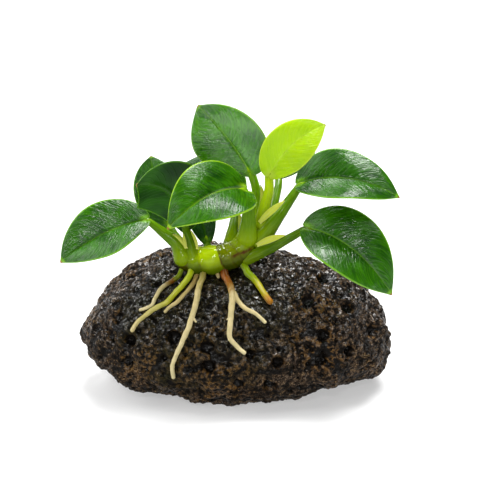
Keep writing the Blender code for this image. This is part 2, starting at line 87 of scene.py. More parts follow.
class Graph:
    """A material's node tree, laid through short calls."""

    def __init__(self, name: str) -> None:
        """Start an empty material.

        Args:
            name: The material's name.
        """
        self.material = bpy.data.materials.new(name)
        self.material.use_nodes = True
        self.tree = self.material.node_tree
        self.tree.nodes.clear()

    def put(
        self, kind: str, sockets: dict | None = None, out: int | str = 0, **settings: object
    ) -> NodeSocket:
        """Add a node and feed it.

        Args:
            kind: The node's type without its prefix.
            sockets: A value or another node's output for each input, by name or number.
            out: The output that is wanted.
            **settings: Properties of the node.

        Returns:
            The wanted output.
        """
        node = self.tree.nodes.new("ShaderNode" + kind)
        for key, value in settings.items():
            setattr(node, key, value)
        for key, value in (sockets or {}).items():
            socket = node.inputs[key]
            if isinstance(value, NodeSocket):
                self.tree.links.new(value, socket)
            elif socket.type == "RGBA":
                socket.default_value = (*value, 1.0)
            else:
                socket.default_value = value
        return node.outputs[out]

    def layer(self, layer: Layer) -> NodeSocket:
        """Read one of the piece's own coordinate layers."""
        return self.put("Attribute", out="Vector", attribute_name=layer.value)

    def parts(self, vector: NodeSocket) -> tuple[NodeSocket, NodeSocket, NodeSocket]:
        """Split a vector into its three numbers."""
        node = self.put("SeparateXYZ", {0: vector}).node
        return node.outputs[0], node.outputs[1], node.outputs[2]

    def up(self) -> NodeSocket:
        """Give how far the skin looks up, from -1 to 1."""
        return self.parts(self.put("TexCoord", out="Normal"))[2]

    def join(self, x: Socket, y: Socket, z: Socket) -> NodeSocket:
        """Make a vector of three numbers."""
        return self.put("CombineXYZ", {0: x, 1: y, 2: z})

    def sum_up(self, operation: str, first: Socket, second: Socket = 0.0) -> NodeSocket:
        """Do one sum with numbers."""
        return self.put("Math", {0: first, 1: second}, operation=operation)

    def slope(
        self, value: Socket, low: float, high: float, start: float = 0.0, end: float = 1.0
    ) -> NodeSocket:
        """Turn a number smoothly from start at low to end at high."""
        sockets = {"Value": value, "From Min": low, "From Max": high}
        sockets |= {"To Min": start, "To Max": end}
        return self.put("MapRange", sockets, interpolation_type="SMOOTHSTEP")

    def blend(self, share: Socket, first: Socket, second: Socket) -> NodeSocket:
        """Mix two colours by a share of the second."""
        return self.put("Mix", {0: share, 6: first, 7: second}, out=2, data_type="RGBA")

    def darken(self, share: Socket, first: Socket, second: Socket) -> NodeSocket:
        """Multiply a colour by another, by a share."""
        sockets = {0: share, 6: first, 7: second}
        return self.put("Mix", sockets, out=2, data_type="RGBA", blend_type="MULTIPLY")

    def ramp(self, value: NodeSocket, stops: Sequence[tuple[float, Colour]]) -> NodeSocket:
        """Colour a number by a row of stops."""
        colours = self.put("ValToRGB", {0: value})
        row = colours.node.color_ramp.elements
        while len(row) < len(stops):
            row.new(1.0)
        for element, (place, colour) in zip(row, stops):
            element.position = place
            element.color = (*colour, 1.0)
        return colours

    def noise(
        self, vector: NodeSocket, scale: float, detail: float = 3.0, twist: float = 0.0
    ) -> NodeSocket:
        """Give smooth noise from 0 to 1."""
        sockets = {"Vector": vector, "Scale": scale, "Detail": detail, "Distortion": twist}
        return self.put("TexNoise", sockets)

    def cells(self, vector: NodeSocket, scale: float, feature: str = "F1") -> NodeSocket:
        """Give the distance to the nearest of many scattered points."""
        return self.put("TexVoronoi", {"Vector": vector, "Scale": scale}, feature=feature)

    def stretched(self, vector: NodeSocket, scales: Point) -> NodeSocket:
        """Scale a vector by its axes."""
        return self.put("VectorMath", {0: vector, 1: scales}, operation="MULTIPLY")

    def bump(
        self, height: NodeSocket, rise: float, under: NodeSocket | None = None
    ) -> NodeSocket:
        """Shade a height of this many millimetres."""
        sockets = {"Height": height, "Distance": rise * MM}
        if under:
            sockets["Normal"] = under
        return self.put("Bump", sockets)

    def finish(self, sockets: dict, glow: float = 0.0, through: Socket = 0.0) -> Material:
        """Close the material with its shader.

        Args:
            sockets: What feeds the shader.
            glow: The share of light that passes through the surface.
            through: The colour of that light.

        Returns:
            The finished material.
        """
        shader = self.put("BsdfPrincipled", sockets)
        if glow:
            film = self.put("BsdfTranslucent", {"Color": through})
            shader = self.put("MixShader", {0: glow, 1: shader, 2: film})
        self.put_output(shader)
        return self.material

    def put_output(self, shader: NodeSocket) -> None:
        """Join the shader to the material's output."""
        output = self.tree.nodes.new("ShaderNodeOutputMaterial")
        self.tree.links.new(shader, output.inputs["Surface"])


@dataclass(frozen=True)
class LeafFinish:
    """The waxy skin of a leaf blade, with its veins, rim and dull underside."""

    name: str
    dark: Colour
    light: Colour
    rib: Colour
    rim: Colour
    roughness: float = 0.2
    glow: float = 0.1
    gloss: float = 0.5
    ripple: float = 0.3
    groove: float = 1.0
    vein: float = 0.07

    VEIN_LEAN = 0.3
    VEIN_BEND = 1.35
    VEIN_HALF_STEP = 0.0425
    TIP = (0.32, 0.17, 0.03)

    def veins(self, graph: Graph) -> tuple[NodeSocket, ...]:
        """Lay out the coordinates of the veins.

        Args:
            graph: The material's node tree.

        Returns:
            How far along, how far across, the main veins' lines, the fine streaks and the
            slow cloudiness.
        """
        along, across, seed = graph.parts(graph.layer(Layer.PLACE))
        grain = graph.layer(Layer.GRAIN)
        cloud = graph.noise(grain, 0.13, 1.0)
        aside = graph.sum_up("ABSOLUTE", across)
        lean = graph.sum_up("MULTIPLY", graph.sum_up("POWER", aside, self.VEIN_BEND), self.VEIN_LEAN)
        sway = graph.slope(cloud, 0.3, 0.7, -0.012, 0.012)
        course = graph.sum_up("ADD", graph.sum_up("SUBTRACT", along, lean), sway)
        near = graph.sum_up("PINGPONG", course, self.VEIN_HALF_STEP)
        lines = graph.slope(near, 0.0, 0.011, 1.0, 0.0)
        streak_place = graph.join(
            graph.sum_up("MULTIPLY", course, 42.0), graph.sum_up("MULTIPLY", aside, 3.2), seed
        )
        streaks = graph.noise(streak_place, 1.0, 2.0, 0.5)
        return along, aside, lines, streaks, cloud

    def upper(self) -> Material:
        """Make the glossy upper face.

        Returns:
            The material.
        """
        graph = Graph(self.name + " upper")
        along, aside, lines, streaks, cloud = self.veins(graph)
        grain = graph.layer(Layer.GRAIN)
        from_rib = graph.sum_up("ABSOLUTE", graph.parts(grain)[1])
        tone = graph.sum_up("ADD", graph.slope(streaks, 0.35, 0.7, 0.0, 0.5), graph.slope(cloud, 0.25, 0.75, 0.0, 0.5))
        skin = graph.blend(tone, self.dark, self.light)
        skin = graph.blend(graph.sum_up("MULTIPLY", lines, self.vein), skin, self.rib)
        margin = graph.slope(aside, 0.8, 1.0, 0.0, 0.35)
        skin = graph.blend(margin, skin, self.light)
        skin = graph.blend(graph.slope(aside, 0.955, 0.975, 0.0, 0.9), skin, self.rim)
        rib = graph.slope(from_rib, 0.18, 0.62, 1.0, 0.0)
        fade = graph.slope(along, 0.05, 0.95, 0.95, 0.3)
        skin = graph.blend(graph.sum_up("MULTIPLY", rib, fade), skin, self.rib)
        foot = graph.slope(along, 0.03, 0.13, 0.95, 0.0)
        foot = graph.sum_up("MULTIPLY", foot, graph.slope(from_rib, 0.8, 2.6, 1.0, 0.0))
        skin = graph.blend(foot, skin, self.rim)
        skin = graph.blend(graph.slope(along, 0.955, 0.975), skin, self.rim)
        skin = graph.blend(graph.slope(along, 0.982, 0.992), skin, self.TIP)
        wrinkles = graph.noise(grain, 0.3, 3.0, 0.8)
        height = graph.sum_up("ADD", graph.sum_up("MULTIPLY", streaks, 0.9), graph.sum_up("MULTIPLY", lines, -0.15))
        height = graph.sum_up("ADD", height, wrinkles)
        normal = graph.bump(height, self.ripple)
        normal = graph.bump(graph.noise(grain, 1.6, 2.0), 0.04, normal)
        rough = graph.slope(wrinkles, 0.3, 0.75, self.roughness - 0.06, self.roughness + 0.12)
        sockets = {"Base Color": skin, "Roughness": rough, "Normal": normal}
        return graph.finish(sockets | {"Specular IOR Level": self.gloss}, self.glow, self.light)

    def under(self) -> Material:
        """Make the dull, paler underside.

        Returns:
            The material.
        """
        graph = Graph(self.name + " under")
        along, aside, lines, streaks, cloud = self.veins(graph)
        from_rib = graph.sum_up("ABSOLUTE", graph.parts(graph.layer(Layer.GRAIN))[1])
        skin = graph.blend(graph.slope(cloud, 0.3, 0.7), self.dark, self.light)
        skin = graph.blend(graph.slope(streaks, 0.4, 0.8, 0.0, 0.12), skin, self.rib)
        skin = graph.blend(graph.sum_up("MULTIPLY", lines, 0.1), skin, self.rib)
        rib = graph.sum_up("MULTIPLY", graph.slope(from_rib, 0.4, 1.2, 0.8, 0.0), graph.slope(along, 0.1, 0.9, 1.0, 0.4))
        skin = graph.blend(rib, skin, self.rib)
        skin = graph.blend(graph.slope(aside, 0.95, 0.975, 0.0, 0.9), skin, self.rim)
        normal = graph.bump(graph.sum_up("ADD", streaks, lines), 0.08)
        sockets = {"Base Color": skin, "Roughness": graph.slope(streaks, 0.3, 0.8, 0.34, 0.5), "Normal": normal}
        return graph.finish(sockets | {"Specular IOR Level": 0.2}, self.glow, self.light)

    def edge(self) -> Material:
        """Make the thin pale rim.

        Returns:
            The material.
        """
        graph = Graph(self.name + " rim")
        along, _, _ = graph.parts(graph.layer(Layer.PLACE))
        mottle = graph.noise(graph.layer(Layer.GRAIN), 0.7)
        skin = graph.blend(graph.slope(mottle, 0.35, 0.7), self.rim, self.rib)
        skin = graph.blend(graph.slope(along, 0.98, 0.992), skin, self.TIP)
        sockets = {"Base Color": skin, "Roughness": graph.slope(mottle, 0.2, 0.8, 0.22, 0.34)}
        return graph.finish(sockets, self.glow, self.rim)


@dataclass(frozen=True)
class StemFinish:
    """The wet skin of a stalk, root or rhizome: colours from one end to the other, with painted shade on the side that
    faces down.
    """

    name: str
    stops: tuple[tuple[float, Colour], ...]
    fleck: Colour
    flecks: float = 0.25
    roughness: float = 0.24
    scar: Colour = (0.13, 0.07, 0.012)
    wetness: float = 0.4
    # how much the downward-facing side is painted darker, as painted shade
    shade: float = 0.4
    drift: float = 0.04
    tilt: float = 0.0

    def build(self) -> Material:
        """Make the material."""
        graph = Graph(self.name)
        along, scar, _ = graph.parts(graph.layer(Layer.PLACE))
        grain = graph.layer(Layer.GRAIN)
        fibres = graph.noise(graph.stretched(grain, (1.6, 1.6, 0.14)), 1.0, 3.0)
        cloud = graph.noise(grain, 0.35, 3.0)
        up = graph.up()
        shifted = graph.sum_up("ADD", along, graph.slope(cloud, 0.3, 0.7, -self.drift, self.drift))
        shifted = graph.sum_up("ADD", shifted, graph.sum_up("MULTIPLY", up, self.tilt))
        skin = graph.ramp(shifted, self.stops)
        skin = graph.blend(graph.slope(fibres, 0.45, 0.75, 0.0, self.flecks), skin, self.fleck)
        skin = graph.darken(graph.slope(cloud, 0.35, 0.7, 0.35, 0.0), skin, (0.55, 0.6, 0.5))
        # Painted shade: the side that faces down is darkened towards a dull dark green.
        painted_underside_shade = graph.slope(up, -0.6, 0.9, self.shade, 0.0)
        skin = graph.darken(painted_underside_shade, skin, (0.1, 0.12, 0.06))
        skin = graph.blend(scar, skin, self.scar)
        normal = graph.bump(fibres, 0.12)
        normal = graph.bump(graph.noise(grain, 1.3, 3.0), 0.08, normal)
        dents = graph.bump(graph.noise(grain, 1.2, 2.0), 0.09)
        rough = graph.slope(cloud, 0.3, 0.75, self.roughness - 0.1, self.roughness + 0.08)
        wet = graph.slope(cloud, 0.3, 0.5, self.wetness * 0.6, self.wetness)
        wet = graph.sum_up("MULTIPLY", wet, graph.slope(scar, 0.1, 0.6, 1.0, 0.2))
        wet = graph.sum_up("MULTIPLY", wet, graph.slope(up, 0.0, 0.4, 0.05, 1.0))
        sockets = {"Base Color": skin, "Roughness": rough, "Normal": normal}
        sockets |= {"Coat Weight": wet, "Coat Normal": dents}
        sockets |= {"Specular IOR Level": 0.05, "Coat Roughness": 0.04}
        return graph.finish(sockets)


@dataclass(frozen=True)
class StoneFinish:
    """Wet porous lava: near black, with rust in patches, glints in its grain and painted shade in its crevices, pores
    and holes.
    """

    # near black, used for the painted shade in crevices, pores and holes
    black: Colour = (0.003, 0.002, 0.001)
    brown: Colour = (0.022, 0.012, 0.005)
    grey: Colour = (0.11, 0.078, 0.055)
    ochre: Colour = (0.21, 0.1, 0.018)
    pale: Colour = (0.34, 0.22, 0.1)
    moss: Colour = (0.008, 0.01, 0.002)

    def build(self) -> Material:
        """Make the material."""
        graph = Graph("wet lava")
        # The first place number is painted shade: how dark the holes, pores and crevices are painted.
        hollow, rust, damp = graph.parts(graph.layer(Layer.PLACE))
        grain = graph.layer(Layer.GRAIN)
        broad = graph.noise(grain, 0.14, 3.0, 0.4)
        fine = graph.noise(grain, 0.7, 5.0)
        grit = graph.noise(grain, 2.2, 3.0)
        pores = graph.cells(grain, 0.9)
        skin = graph.blend(graph.slope(grit, 0.42, 0.6), self.brown, self.grey)
        skin = graph.darken(graph.slope(broad, 0.4, 0.58, 0.95, 0.0), skin, (0.25, 0.24, 0.22))
        stain = graph.sum_up("MULTIPLY", graph.slope(fine, 0.42, 0.68, 0.0, 0.9), rust)
        skin = graph.blend(stain, skin, self.ochre)
        crumbs = graph.sum_up("MULTIPLY", graph.slope(grit, 0.54, 0.66), graph.slope(fine, 0.48, 0.62))
        skin = graph.blend(graph.sum_up("MULTIPLY", crumbs, 0.7), skin, self.pale)
        skin = graph.blend(graph.sum_up("MULTIPLY", damp, 0.75), skin, self.moss)
        # Painted shade: the low places of the fine relief and the small pores are painted near black.
        skin = graph.blend(graph.slope(fine, 0.38, 0.55, 0.95, 0.0), skin, self.black)
        skin = graph.darken(graph.slope(pores, 0.1, 0.32, 0.9, 0.0), skin, self.black)
        # Painted shade of the holes, pores and crevices that the mesh carries.
        skin = graph.blend(graph.slope(hollow, 0.25, 0.6), skin, self.black)
        normal = graph.bump(fine, 0.7)
        normal = graph.bump(graph.slope(pores, 0.06, 0.34), 0.35, normal)
        normal = graph.bump(grit, 0.3, normal)
        sparkle = graph.bump(graph.noise(grain, 0.85, 1.5), 0.8)
        upward = graph.slope(graph.parts(grain)[2], 12.0, 38.0, 0.3, 1.0)
        film = graph.slope(graph.noise(grain, 0.6, 3.0), 0.46, 0.51)
        film = graph.sum_up("MULTIPLY", film, graph.slope(fine, 0.44, 0.51, 0.03, 1.0))
        film = graph.sum_up("MULTIPLY", film, upward)
        film = graph.sum_up("MAXIMUM", film, graph.slope(hollow, 0.3, 0.7, 0.0, 0.3))
        film = graph.sum_up("MULTIPLY", film, graph.slope(graph.up(), -0.05, 0.4, 0.06, 1.0))
        rough = graph.slope(broad, 0.35, 0.65, 0.5, 0.3)
        sockets = {"Base Color": skin, "Roughness": rough, "Normal": normal}
        sockets |= {"Coat Weight": film, "Coat Normal": sparkle}
        return graph.finish(sockets | {"Specular IOR Level": 0.05, "Coat Roughness": 0.06, "Coat IOR": 1.7})


@dataclass(frozen=True)
class Blade:
    """A leaf blade's form: points in mm, angles in degrees.

    The pairs are for the left and right halves, seen on the upper face with the tip ahead.
    """

    base: Point
    belly: Point
    tip: Point
    facing: Point
    half_width: float
    folds: tuple[float, float] = (14.0, 14.0)
    fullest: tuple[float, float] = (0.45, 0.45)
    curl: float = 10.0
    lobes: tuple[float, float] = (0.02, 0.02)
    rounding: float = 1.5
    wave: float = 0.35

    def course(self, along: float) -> tuple[Vector, Vector]:
        """Give a point of the midrib and the midrib's direction there."""
        base, belly, tip = Vector(self.base), Vector(self.belly), Vector(self.tip)
        pull = belly * 2.0 - (base + tip) / 2.0
        first = base.lerp(pull, along)
        last = pull.lerp(tip, along)
        return first.lerp(last, along), (last - first).normalized()

    def axes(self, along: float) -> tuple[Vector, Vector, Vector, Vector]:
        """Give a midrib point with the directions ahead, to the side and off the face.

        Args:
            along: The share of the way from base to tip.

        Returns:
            The point and the three directions.
        """
        centre, ahead = self.course(along)
        side = ahead.cross(Vector(self.facing)).normalized()
        return centre, ahead, side, side.cross(ahead)

    def reach(self, along: float, right: bool) -> float:
        """Give how far the margin lies from the midrib.

        Args:
            along: The share of the way from base to tip.
            right: Whether it is the right half.

        Returns:
            The distance in mm.
        """
        fullest = self.fullest[right]
        foot = self.rounding * fullest
        point = self.rounding - foot
        return self.half_width * (along / fullest) ** foot * ((1 - along) / (1 - fullest)) ** point


@dataclass
class LeafModel:
    """One leaf blade, or a sheath: two relieved faces joined by a rounded rim."""

    name: str
    blade: Blade
    finish: LeafFinish
    seed: float
    rows: int = 84
    columns: int = 56
    thickness: float = 0.8
    rim: float = 0.4
    relief: float = 1.0

    FOOT_WIDTH = 1.1
    TIP_WIDTH = 0.22
    BEAD = 0.14
    POINT_LENGTH = 0.045
    POINT_PINCH = 0.6
    SHOULDER = 0.1
    GROOVE = 0.34
    PUFF = 0.05
    VEIN_DIP = 0.04
    DRIFT = 0.3
    KEEL = 0.75
    VEIN_RIDGE = 0.02
    FULL_RIM = 0.4

    def surface(self, along: float, across: float) -> tuple[Vector, float]:
        """Give a point of the blade's middle sheet and its distance from the midrib.

        Args:
            along: The share of the way from base to tip.
            across: -1 at the left margin, 1 at the right one.

        Returns:
            The point and the distance, in mm.
        """
        blade = self.blade
        centre, ahead, side, face = blade.axes(along)
        right = across > 0
        aside = abs(across)
        ends = self.FOOT_WIDTH * (1 - along) ** 14 + self.TIP_WIDTH * along**14
        pinch = 1 - self.POINT_PINCH * math.exp(-(1 - along) / self.POINT_LENGTH)
        reach = (blade.reach(along, right) * pinch + ends * self.rim / self.FULL_RIM) * aside
        slope = math.radians(blade.folds[right] - blade.curl * aside)
        length = (Vector(blade.tip) - Vector(blade.base)).length
        back = blade.lobes[right] * length * across**2 * (1 - along) ** 4
        wave = math.sin(along * 9.0 + self.seed * 2.0 + (2.2 if right else 0.0))
        wave *= blade.wave * self.relief * across**2 * math.sin(math.pi * along)
        sideways = math.copysign(reach * math.cos(slope), across)
        point = centre + side * sideways - ahead * back
        return point + face * (reach * math.sin(slope) + wave), reach

    def swell(self, along: float, across: float, reach: float, upper: bool) -> float:
        """Give how far one face stands off the middle sheet, in mm."""
        aside = abs(across)
        bulk = self.rim + (self.thickness - self.rim) * (1 - aside) ** 0.8
        course = along - LeafFinish.VEIN_LEAN * aside**LeafFinish.VEIN_BEND
        step = course / (LeafFinish.VEIN_HALF_STEP * 2.0)
        near = abs(step - round(step))
        inner = min(1.0, aside / 0.12) * min(1.0, (1 - aside) / 0.1) * min(1.0, (1 - along) / 0.1)
        vein = math.exp(-((near / 0.12) ** 2))
        puff = math.cos(math.pi * near) ** 2
        middle = math.exp(-((reach / 0.5) ** 2)) * (1 - 0.65 * along)
        if not upper:
            keel = math.exp(-((reach / 0.9) ** 2)) * (1 - along) ** 0.8
            return bulk / 2.0 + self.relief * (self.KEEL * keel + self.VEIN_RIDGE * vein * inner)
        shoulder = math.exp(-(((reach - 1.4) / 0.8) ** 2)) * (1 - along)
        place = Vector((along * 4.0, across * 1.5, self.seed))
        drift = noise.noise(place) * self.DRIFT * inner
        ripples = (self.PUFF * puff - self.VEIN_DIP * vein) * inner
        groove = self.GROOVE * middle * self.finish.groove
        return bulk / 2.0 + self.relief * (drift + ripples - groove + self.SHOULDER * shoulder)

    def lay_face(self, mesh: BMesh, upper: bool) -> None:
        """Lay one face of the blade as a grid and raise its relief.

        Args:
            mesh: The mesh to add to.
            upper: Whether it is the upper face.
        """
        place = mesh.verts.layers.float_vector[Layer.PLACE.value]
        grain = mesh.verts.layers.float_vector[Layer.GRAIN.value]
        made = bmesh.ops.create_grid(
            mesh, x_segments=self.columns, y_segments=self.rows, size=1.0
        )["verts"]
        reaches = []
        length = (Vector(self.blade.tip) - Vector(self.blade.base)).length
        for corner in made:
            x, y = corner.co.x, (corner.co.y + 1.0) / 2.0
            across = math.copysign(0.4 * abs(x) + 0.6 * x * x, x)
            along = 0.5 * y + 0.25 * (1.0 - math.cos(math.pi * y))
            point, reach = self.surface(along, across)
            corner[place] = (along, across, self.seed)
            corner[grain] = (along * length, math.copysign(reach, across), self.seed * 40.0)
            corner.co = point * MM
            reaches.append(reach)
        mesh.normal_update()
        side = 1.0 if self.faces_out(made) else -1.0
        for corner, reach in zip(made, reaches):
            along, across, _ = corner[place]
            rise = self.swell(along, across, reach, upper) * (side if upper else -side)
            corner.co += corner.normal * rise * MM
        if not upper:
            for face in {face for corner in made for face in corner.link_faces}:
                face.material_index = 1

    def faces_out(self, made: Sequence[BMVert]) -> bool:
        """Say whether the grid's normals point off the upper face."""
        middle = made[len(made) // 2 + 3]
        return middle.normal.dot(Vector(self.blade.facing)) > 0

    def build(self) -> Object:
        """Make the blade.

        Returns:
            The blade's object, with its upper, under and rim materials.
        """
        mesh = start_mesh()
        self.lay_face(mesh, True)
        self.lay_face(mesh, False)
        place = mesh.verts.layers.float_vector[Layer.PLACE.value]
        edges = [edge for edge in mesh.edges if edge.is_boundary]
        bridge = bmesh.ops.bridge_loops(mesh, edges=edges)
        for face in bridge["faces"]:
            face.material_index = 2
        split = bmesh.ops.subdivide_edges(mesh, edges=bridge["edges"], cuts=1)
        mesh.normal_update()
        bmesh.ops.recalc_face_normals(mesh, faces=mesh.faces)
        mesh.normal_update()
        for item in split["geom_inner"]:
            if isinstance(item, BMVert):
                item.co += item.normal * self.BEAD * self.rim / self.FULL_RIM * MM
                item[place].z = self.seed
        materials = (self.finish.upper(), self.finish.under(), self.finish.edge())
        return settle(self.name, mesh, materials)


@dataclass
class TubeModel:
    """A round stem with rounded ends, swept along a smooth path in mm."""

    name: str
    points: Sequence[Vector]
    radius: Callable[[float], float]
    finish: StemFinish
    seed: float = 0.0
    sides: int = 20
    step: float = 0.55
    scar: Callable[[float, Vector, Vector], float] = lambda along, out, spot: 0.0
    relief: Callable[[float, Vector, float], float] = lambda along, out, length: 0.0
    nubs: Sequence[tuple[float, float, float]] = ()

    CAP_TURNS = (18.0, 36.0, 54.0, 70.0, 83.0)

    def path(self) -> list[Vector]:
        """Thread a smooth path through the points, evenly stepped."""
        rough = thread(self.points, 12)
        total = sum((b - a).length for a, b in zip(rough, rough[1:]))
        count = max(8, round(total / self.step))
        row = respace(rough, count)
        first = round(self.radius(0.0) / total * count)
        last = count - round(self.radius(1.0) / total * count)
        return row[first : last + 1]

    def build(self) -> Object:
        """Make the stem.

        Returns:
            The stem's object.
        """
        mesh = start_mesh()
        path = self.path()
        radii = [self.radius(index / (len(path) - 1)) for index in range(len(path))]
        self.sweep(mesh, path, radii)
        for along, turn, length in self.nubs:
            self.sweep(mesh, *self.nub(path, radii, along, turn, length))
        return settle(self.name, mesh, (self.finish.build(),))

    def nub(
        self, path: list[Vector], radii: list[float], along: float, turn: float, length: float
    ) -> tuple[list[Vector], list[float]]:
        """Give the path and radii of a side nub that leaves the stem."""
        index = round(along * (len(path) - 1))
        ahead = (path[index] - path[index - 1]).normalized()
        aside = ahead.cross(WORLD_UP).normalized() * turn
        start = path[index]
        stop = start + (aside * 0.75 + ahead * 0.66) * (radii[index] + length)
        count = 6
        row = [start.lerp(stop, place / count) for place in range(count + 1)]
        return row, [radii[index] * (0.62 - 0.3 * place / count) for place in range(count + 1)]

    def sweep(self, mesh: BMesh, path: list[Vector], radii: list[float]) -> None:
        """Sweep a ring along a path and close both ends roundly.

        Args:
            mesh: The mesh to add to.
            path: The ring's centres, in mm.
            radii: The ring's radius at each centre.
        """
        place = mesh.verts.layers.float_vector[Layer.PLACE.value]
        grain = mesh.verts.layers.float_vector[Layer.GRAIN.value]
        stations = self.stations(path, radii)
        disc = bmesh.ops.create_circle(mesh, cap_ends=True, radius=1.0, segments=self.sides)
        ring = disc["verts"]
        circle = [corner.co.copy() for corner in ring]
        edges = list(dict.fromkeys(edge for corner in ring for edge in corner.link_edges))
        side = stations[0][1].orthogonal().normalized()
        for number, (centre, ahead, radius, along, length) in enumerate(stations):
            side = (side - ahead * side.dot(ahead)).normalized()
            other = ahead.cross(side)
            if number:
                grown = bmesh.ops.extrude_edge_only(mesh, edges=edges)["geom"]
                edges = [item for item in grown if isinstance(item, BMEdge) and item.is_boundary]
                ring = [item for item in grown if isinstance(item, BMVert)]
            for corner, flat in zip(ring, circle):
                out = side * flat.x + other * flat.y
                spot = centre + out * (radius + self.relief(along, out, length) * min(1.0, radius))
                corner.co = spot * MM
                corner[place] = (along, self.scar(along, out, spot), self.seed)
                corner[grain] = (flat.x * radius, flat.y * radius, length + self.seed * 30.0)
        bmesh.ops.contextual_create(mesh, geom=edges)

    def stations(
        self, path: list[Vector], radii: list[float]
    ) -> list[tuple[Vector, Vector, float, float, float]]:
        """List each ring's centre, direction, radius, share of the way and length so far."""
        last = len(path) - 1
        aheads = [
            (path[min(index + 1, last)] - path[max(index - 1, 0)]).normalized()
            for index in range(last + 1)
        ]
        rows = []
        for turn in reversed(self.CAP_TURNS):
            angle = math.radians(turn)
            centre = path[0] - aheads[0] * radii[0] * math.sin(angle)
            rows.append((centre, aheads[0], radii[0] * math.cos(angle), 0.0, 0.0))
        length = 0.0
        for index in range(last + 1):
            if index:
                length += (path[index] - path[index - 1]).length
            rows.append((path[index], aheads[index], radii[index], index / last, length))
        for turn in self.CAP_TURNS:
            angle = math.radians(turn)
            centre = path[last] + aheads[last] * radii[last] * math.sin(angle)
            rows.append((centre, aheads[last], radii[last] * math.cos(angle), 1.0, length))
        return rows


@dataclass(frozen=True)
class Stalk:
    """A leaf stalk: its points in mm and its radii at the rhizome and at the blade."""

    points: tuple[Point, ...]
    radii: tuple[float, float]
    flare: float = 0.35


@dataclass(frozen=True)
class Root:
    """A root: points in mm inside its start, then over the stone.

    Its points on the stone are x and y where it runs over the top, and x and height where
    it runs down the front.
    """

    radii: tuple[float, float]
    start: tuple[Point, ...] = ()
    top: tuple[tuple[float, float], ...] = ()
    front: tuple[tuple[float, float], ...] = ()
    nubs: tuple[tuple[float, float, float], ...] = ()


def start_mesh() -> BMesh:
    """Start an empty mesh with the coordinate layers.

    Returns:
        The mesh.
    """
    mesh = bmesh.new()
    for layer in Layer:
        mesh.verts.layers.float_vector.new(layer.value)
    return mesh


def settle(name: str, mesh: BMesh, materials: Iterable[Material]) -> Object:
    """Turn a finished mesh into a smooth-shaded object in the scene.

    Args:
        name: The object's name.
        mesh: The mesh, which is freed.
        materials: Its materials, in the order of the faces' numbers.

    Returns:
        The object.
    """
    bmesh.ops.remove_doubles(mesh, verts=mesh.verts, dist=1e-7)
    bmesh.ops.recalc_face_normals(mesh, faces=mesh.faces)
    data = bpy.data.meshes.new(name)
    mesh.to_mesh(data)
    mesh.free()
    data.shade_smooth()
    for material in materials:
        data.materials.append(material)
    piece = bpy.data.objects.new(name, data)
    bpy.context.scene.collection.objects.link(piece)
    return piece


def adopt(piece: Object, slot: Slot, *nodes: str) -> None:
    """Let a piece ride on the one body and stand for its solids.

    Args:
        piece: The finished piece.
        slot: Its material slot; not used.
        *nodes: The solids that it stands for.
    """
    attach(piece, "root")
    if nodes:
        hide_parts(*nodes)
    LOG.info("%s: %d faces for %s", piece.name, len(piece.data.polygons), ", ".join(nodes))


def thread(points: Sequence[Vector], steps: int) -> list[Vector]:
    """Thread a smooth curve through points, with this many steps from each to the next."""
    ends = [points[0], *points, points[-1]]
    path = []
    for before, start, stop, after in zip(ends, ends[1:], ends[2:], ends[3:]):
        first = start + (stop - before) / 6.0
        last = stop - (after - start) / 6.0
        path += interpolate_bezier(start, first, last, stop, steps + 1)[:-1]
    return path + [points[-1]]


def respace(path: Sequence[Vector], count: int) -> list[Vector]:
    """Place points evenly along a path.

    Args:
        path: The path.
        count: The number of equal steps.

    Returns:
        The points, one more than the steps.
    """
    lengths = [0.0]
    for before, after in zip(path, path[1:]):
        lengths.append(lengths[-1] + (after - before).length)
    row = []
    index = 0
    for number in range(count + 1):
        wanted = lengths[-1] * number / count
        while index < len(path) - 2 and lengths[index + 1] < wanted:
            index += 1
        span = lengths[index + 1] - lengths[index]
        row.append(path[index].lerp(path[index + 1], (wanted - lengths[index]) / span))
    return row


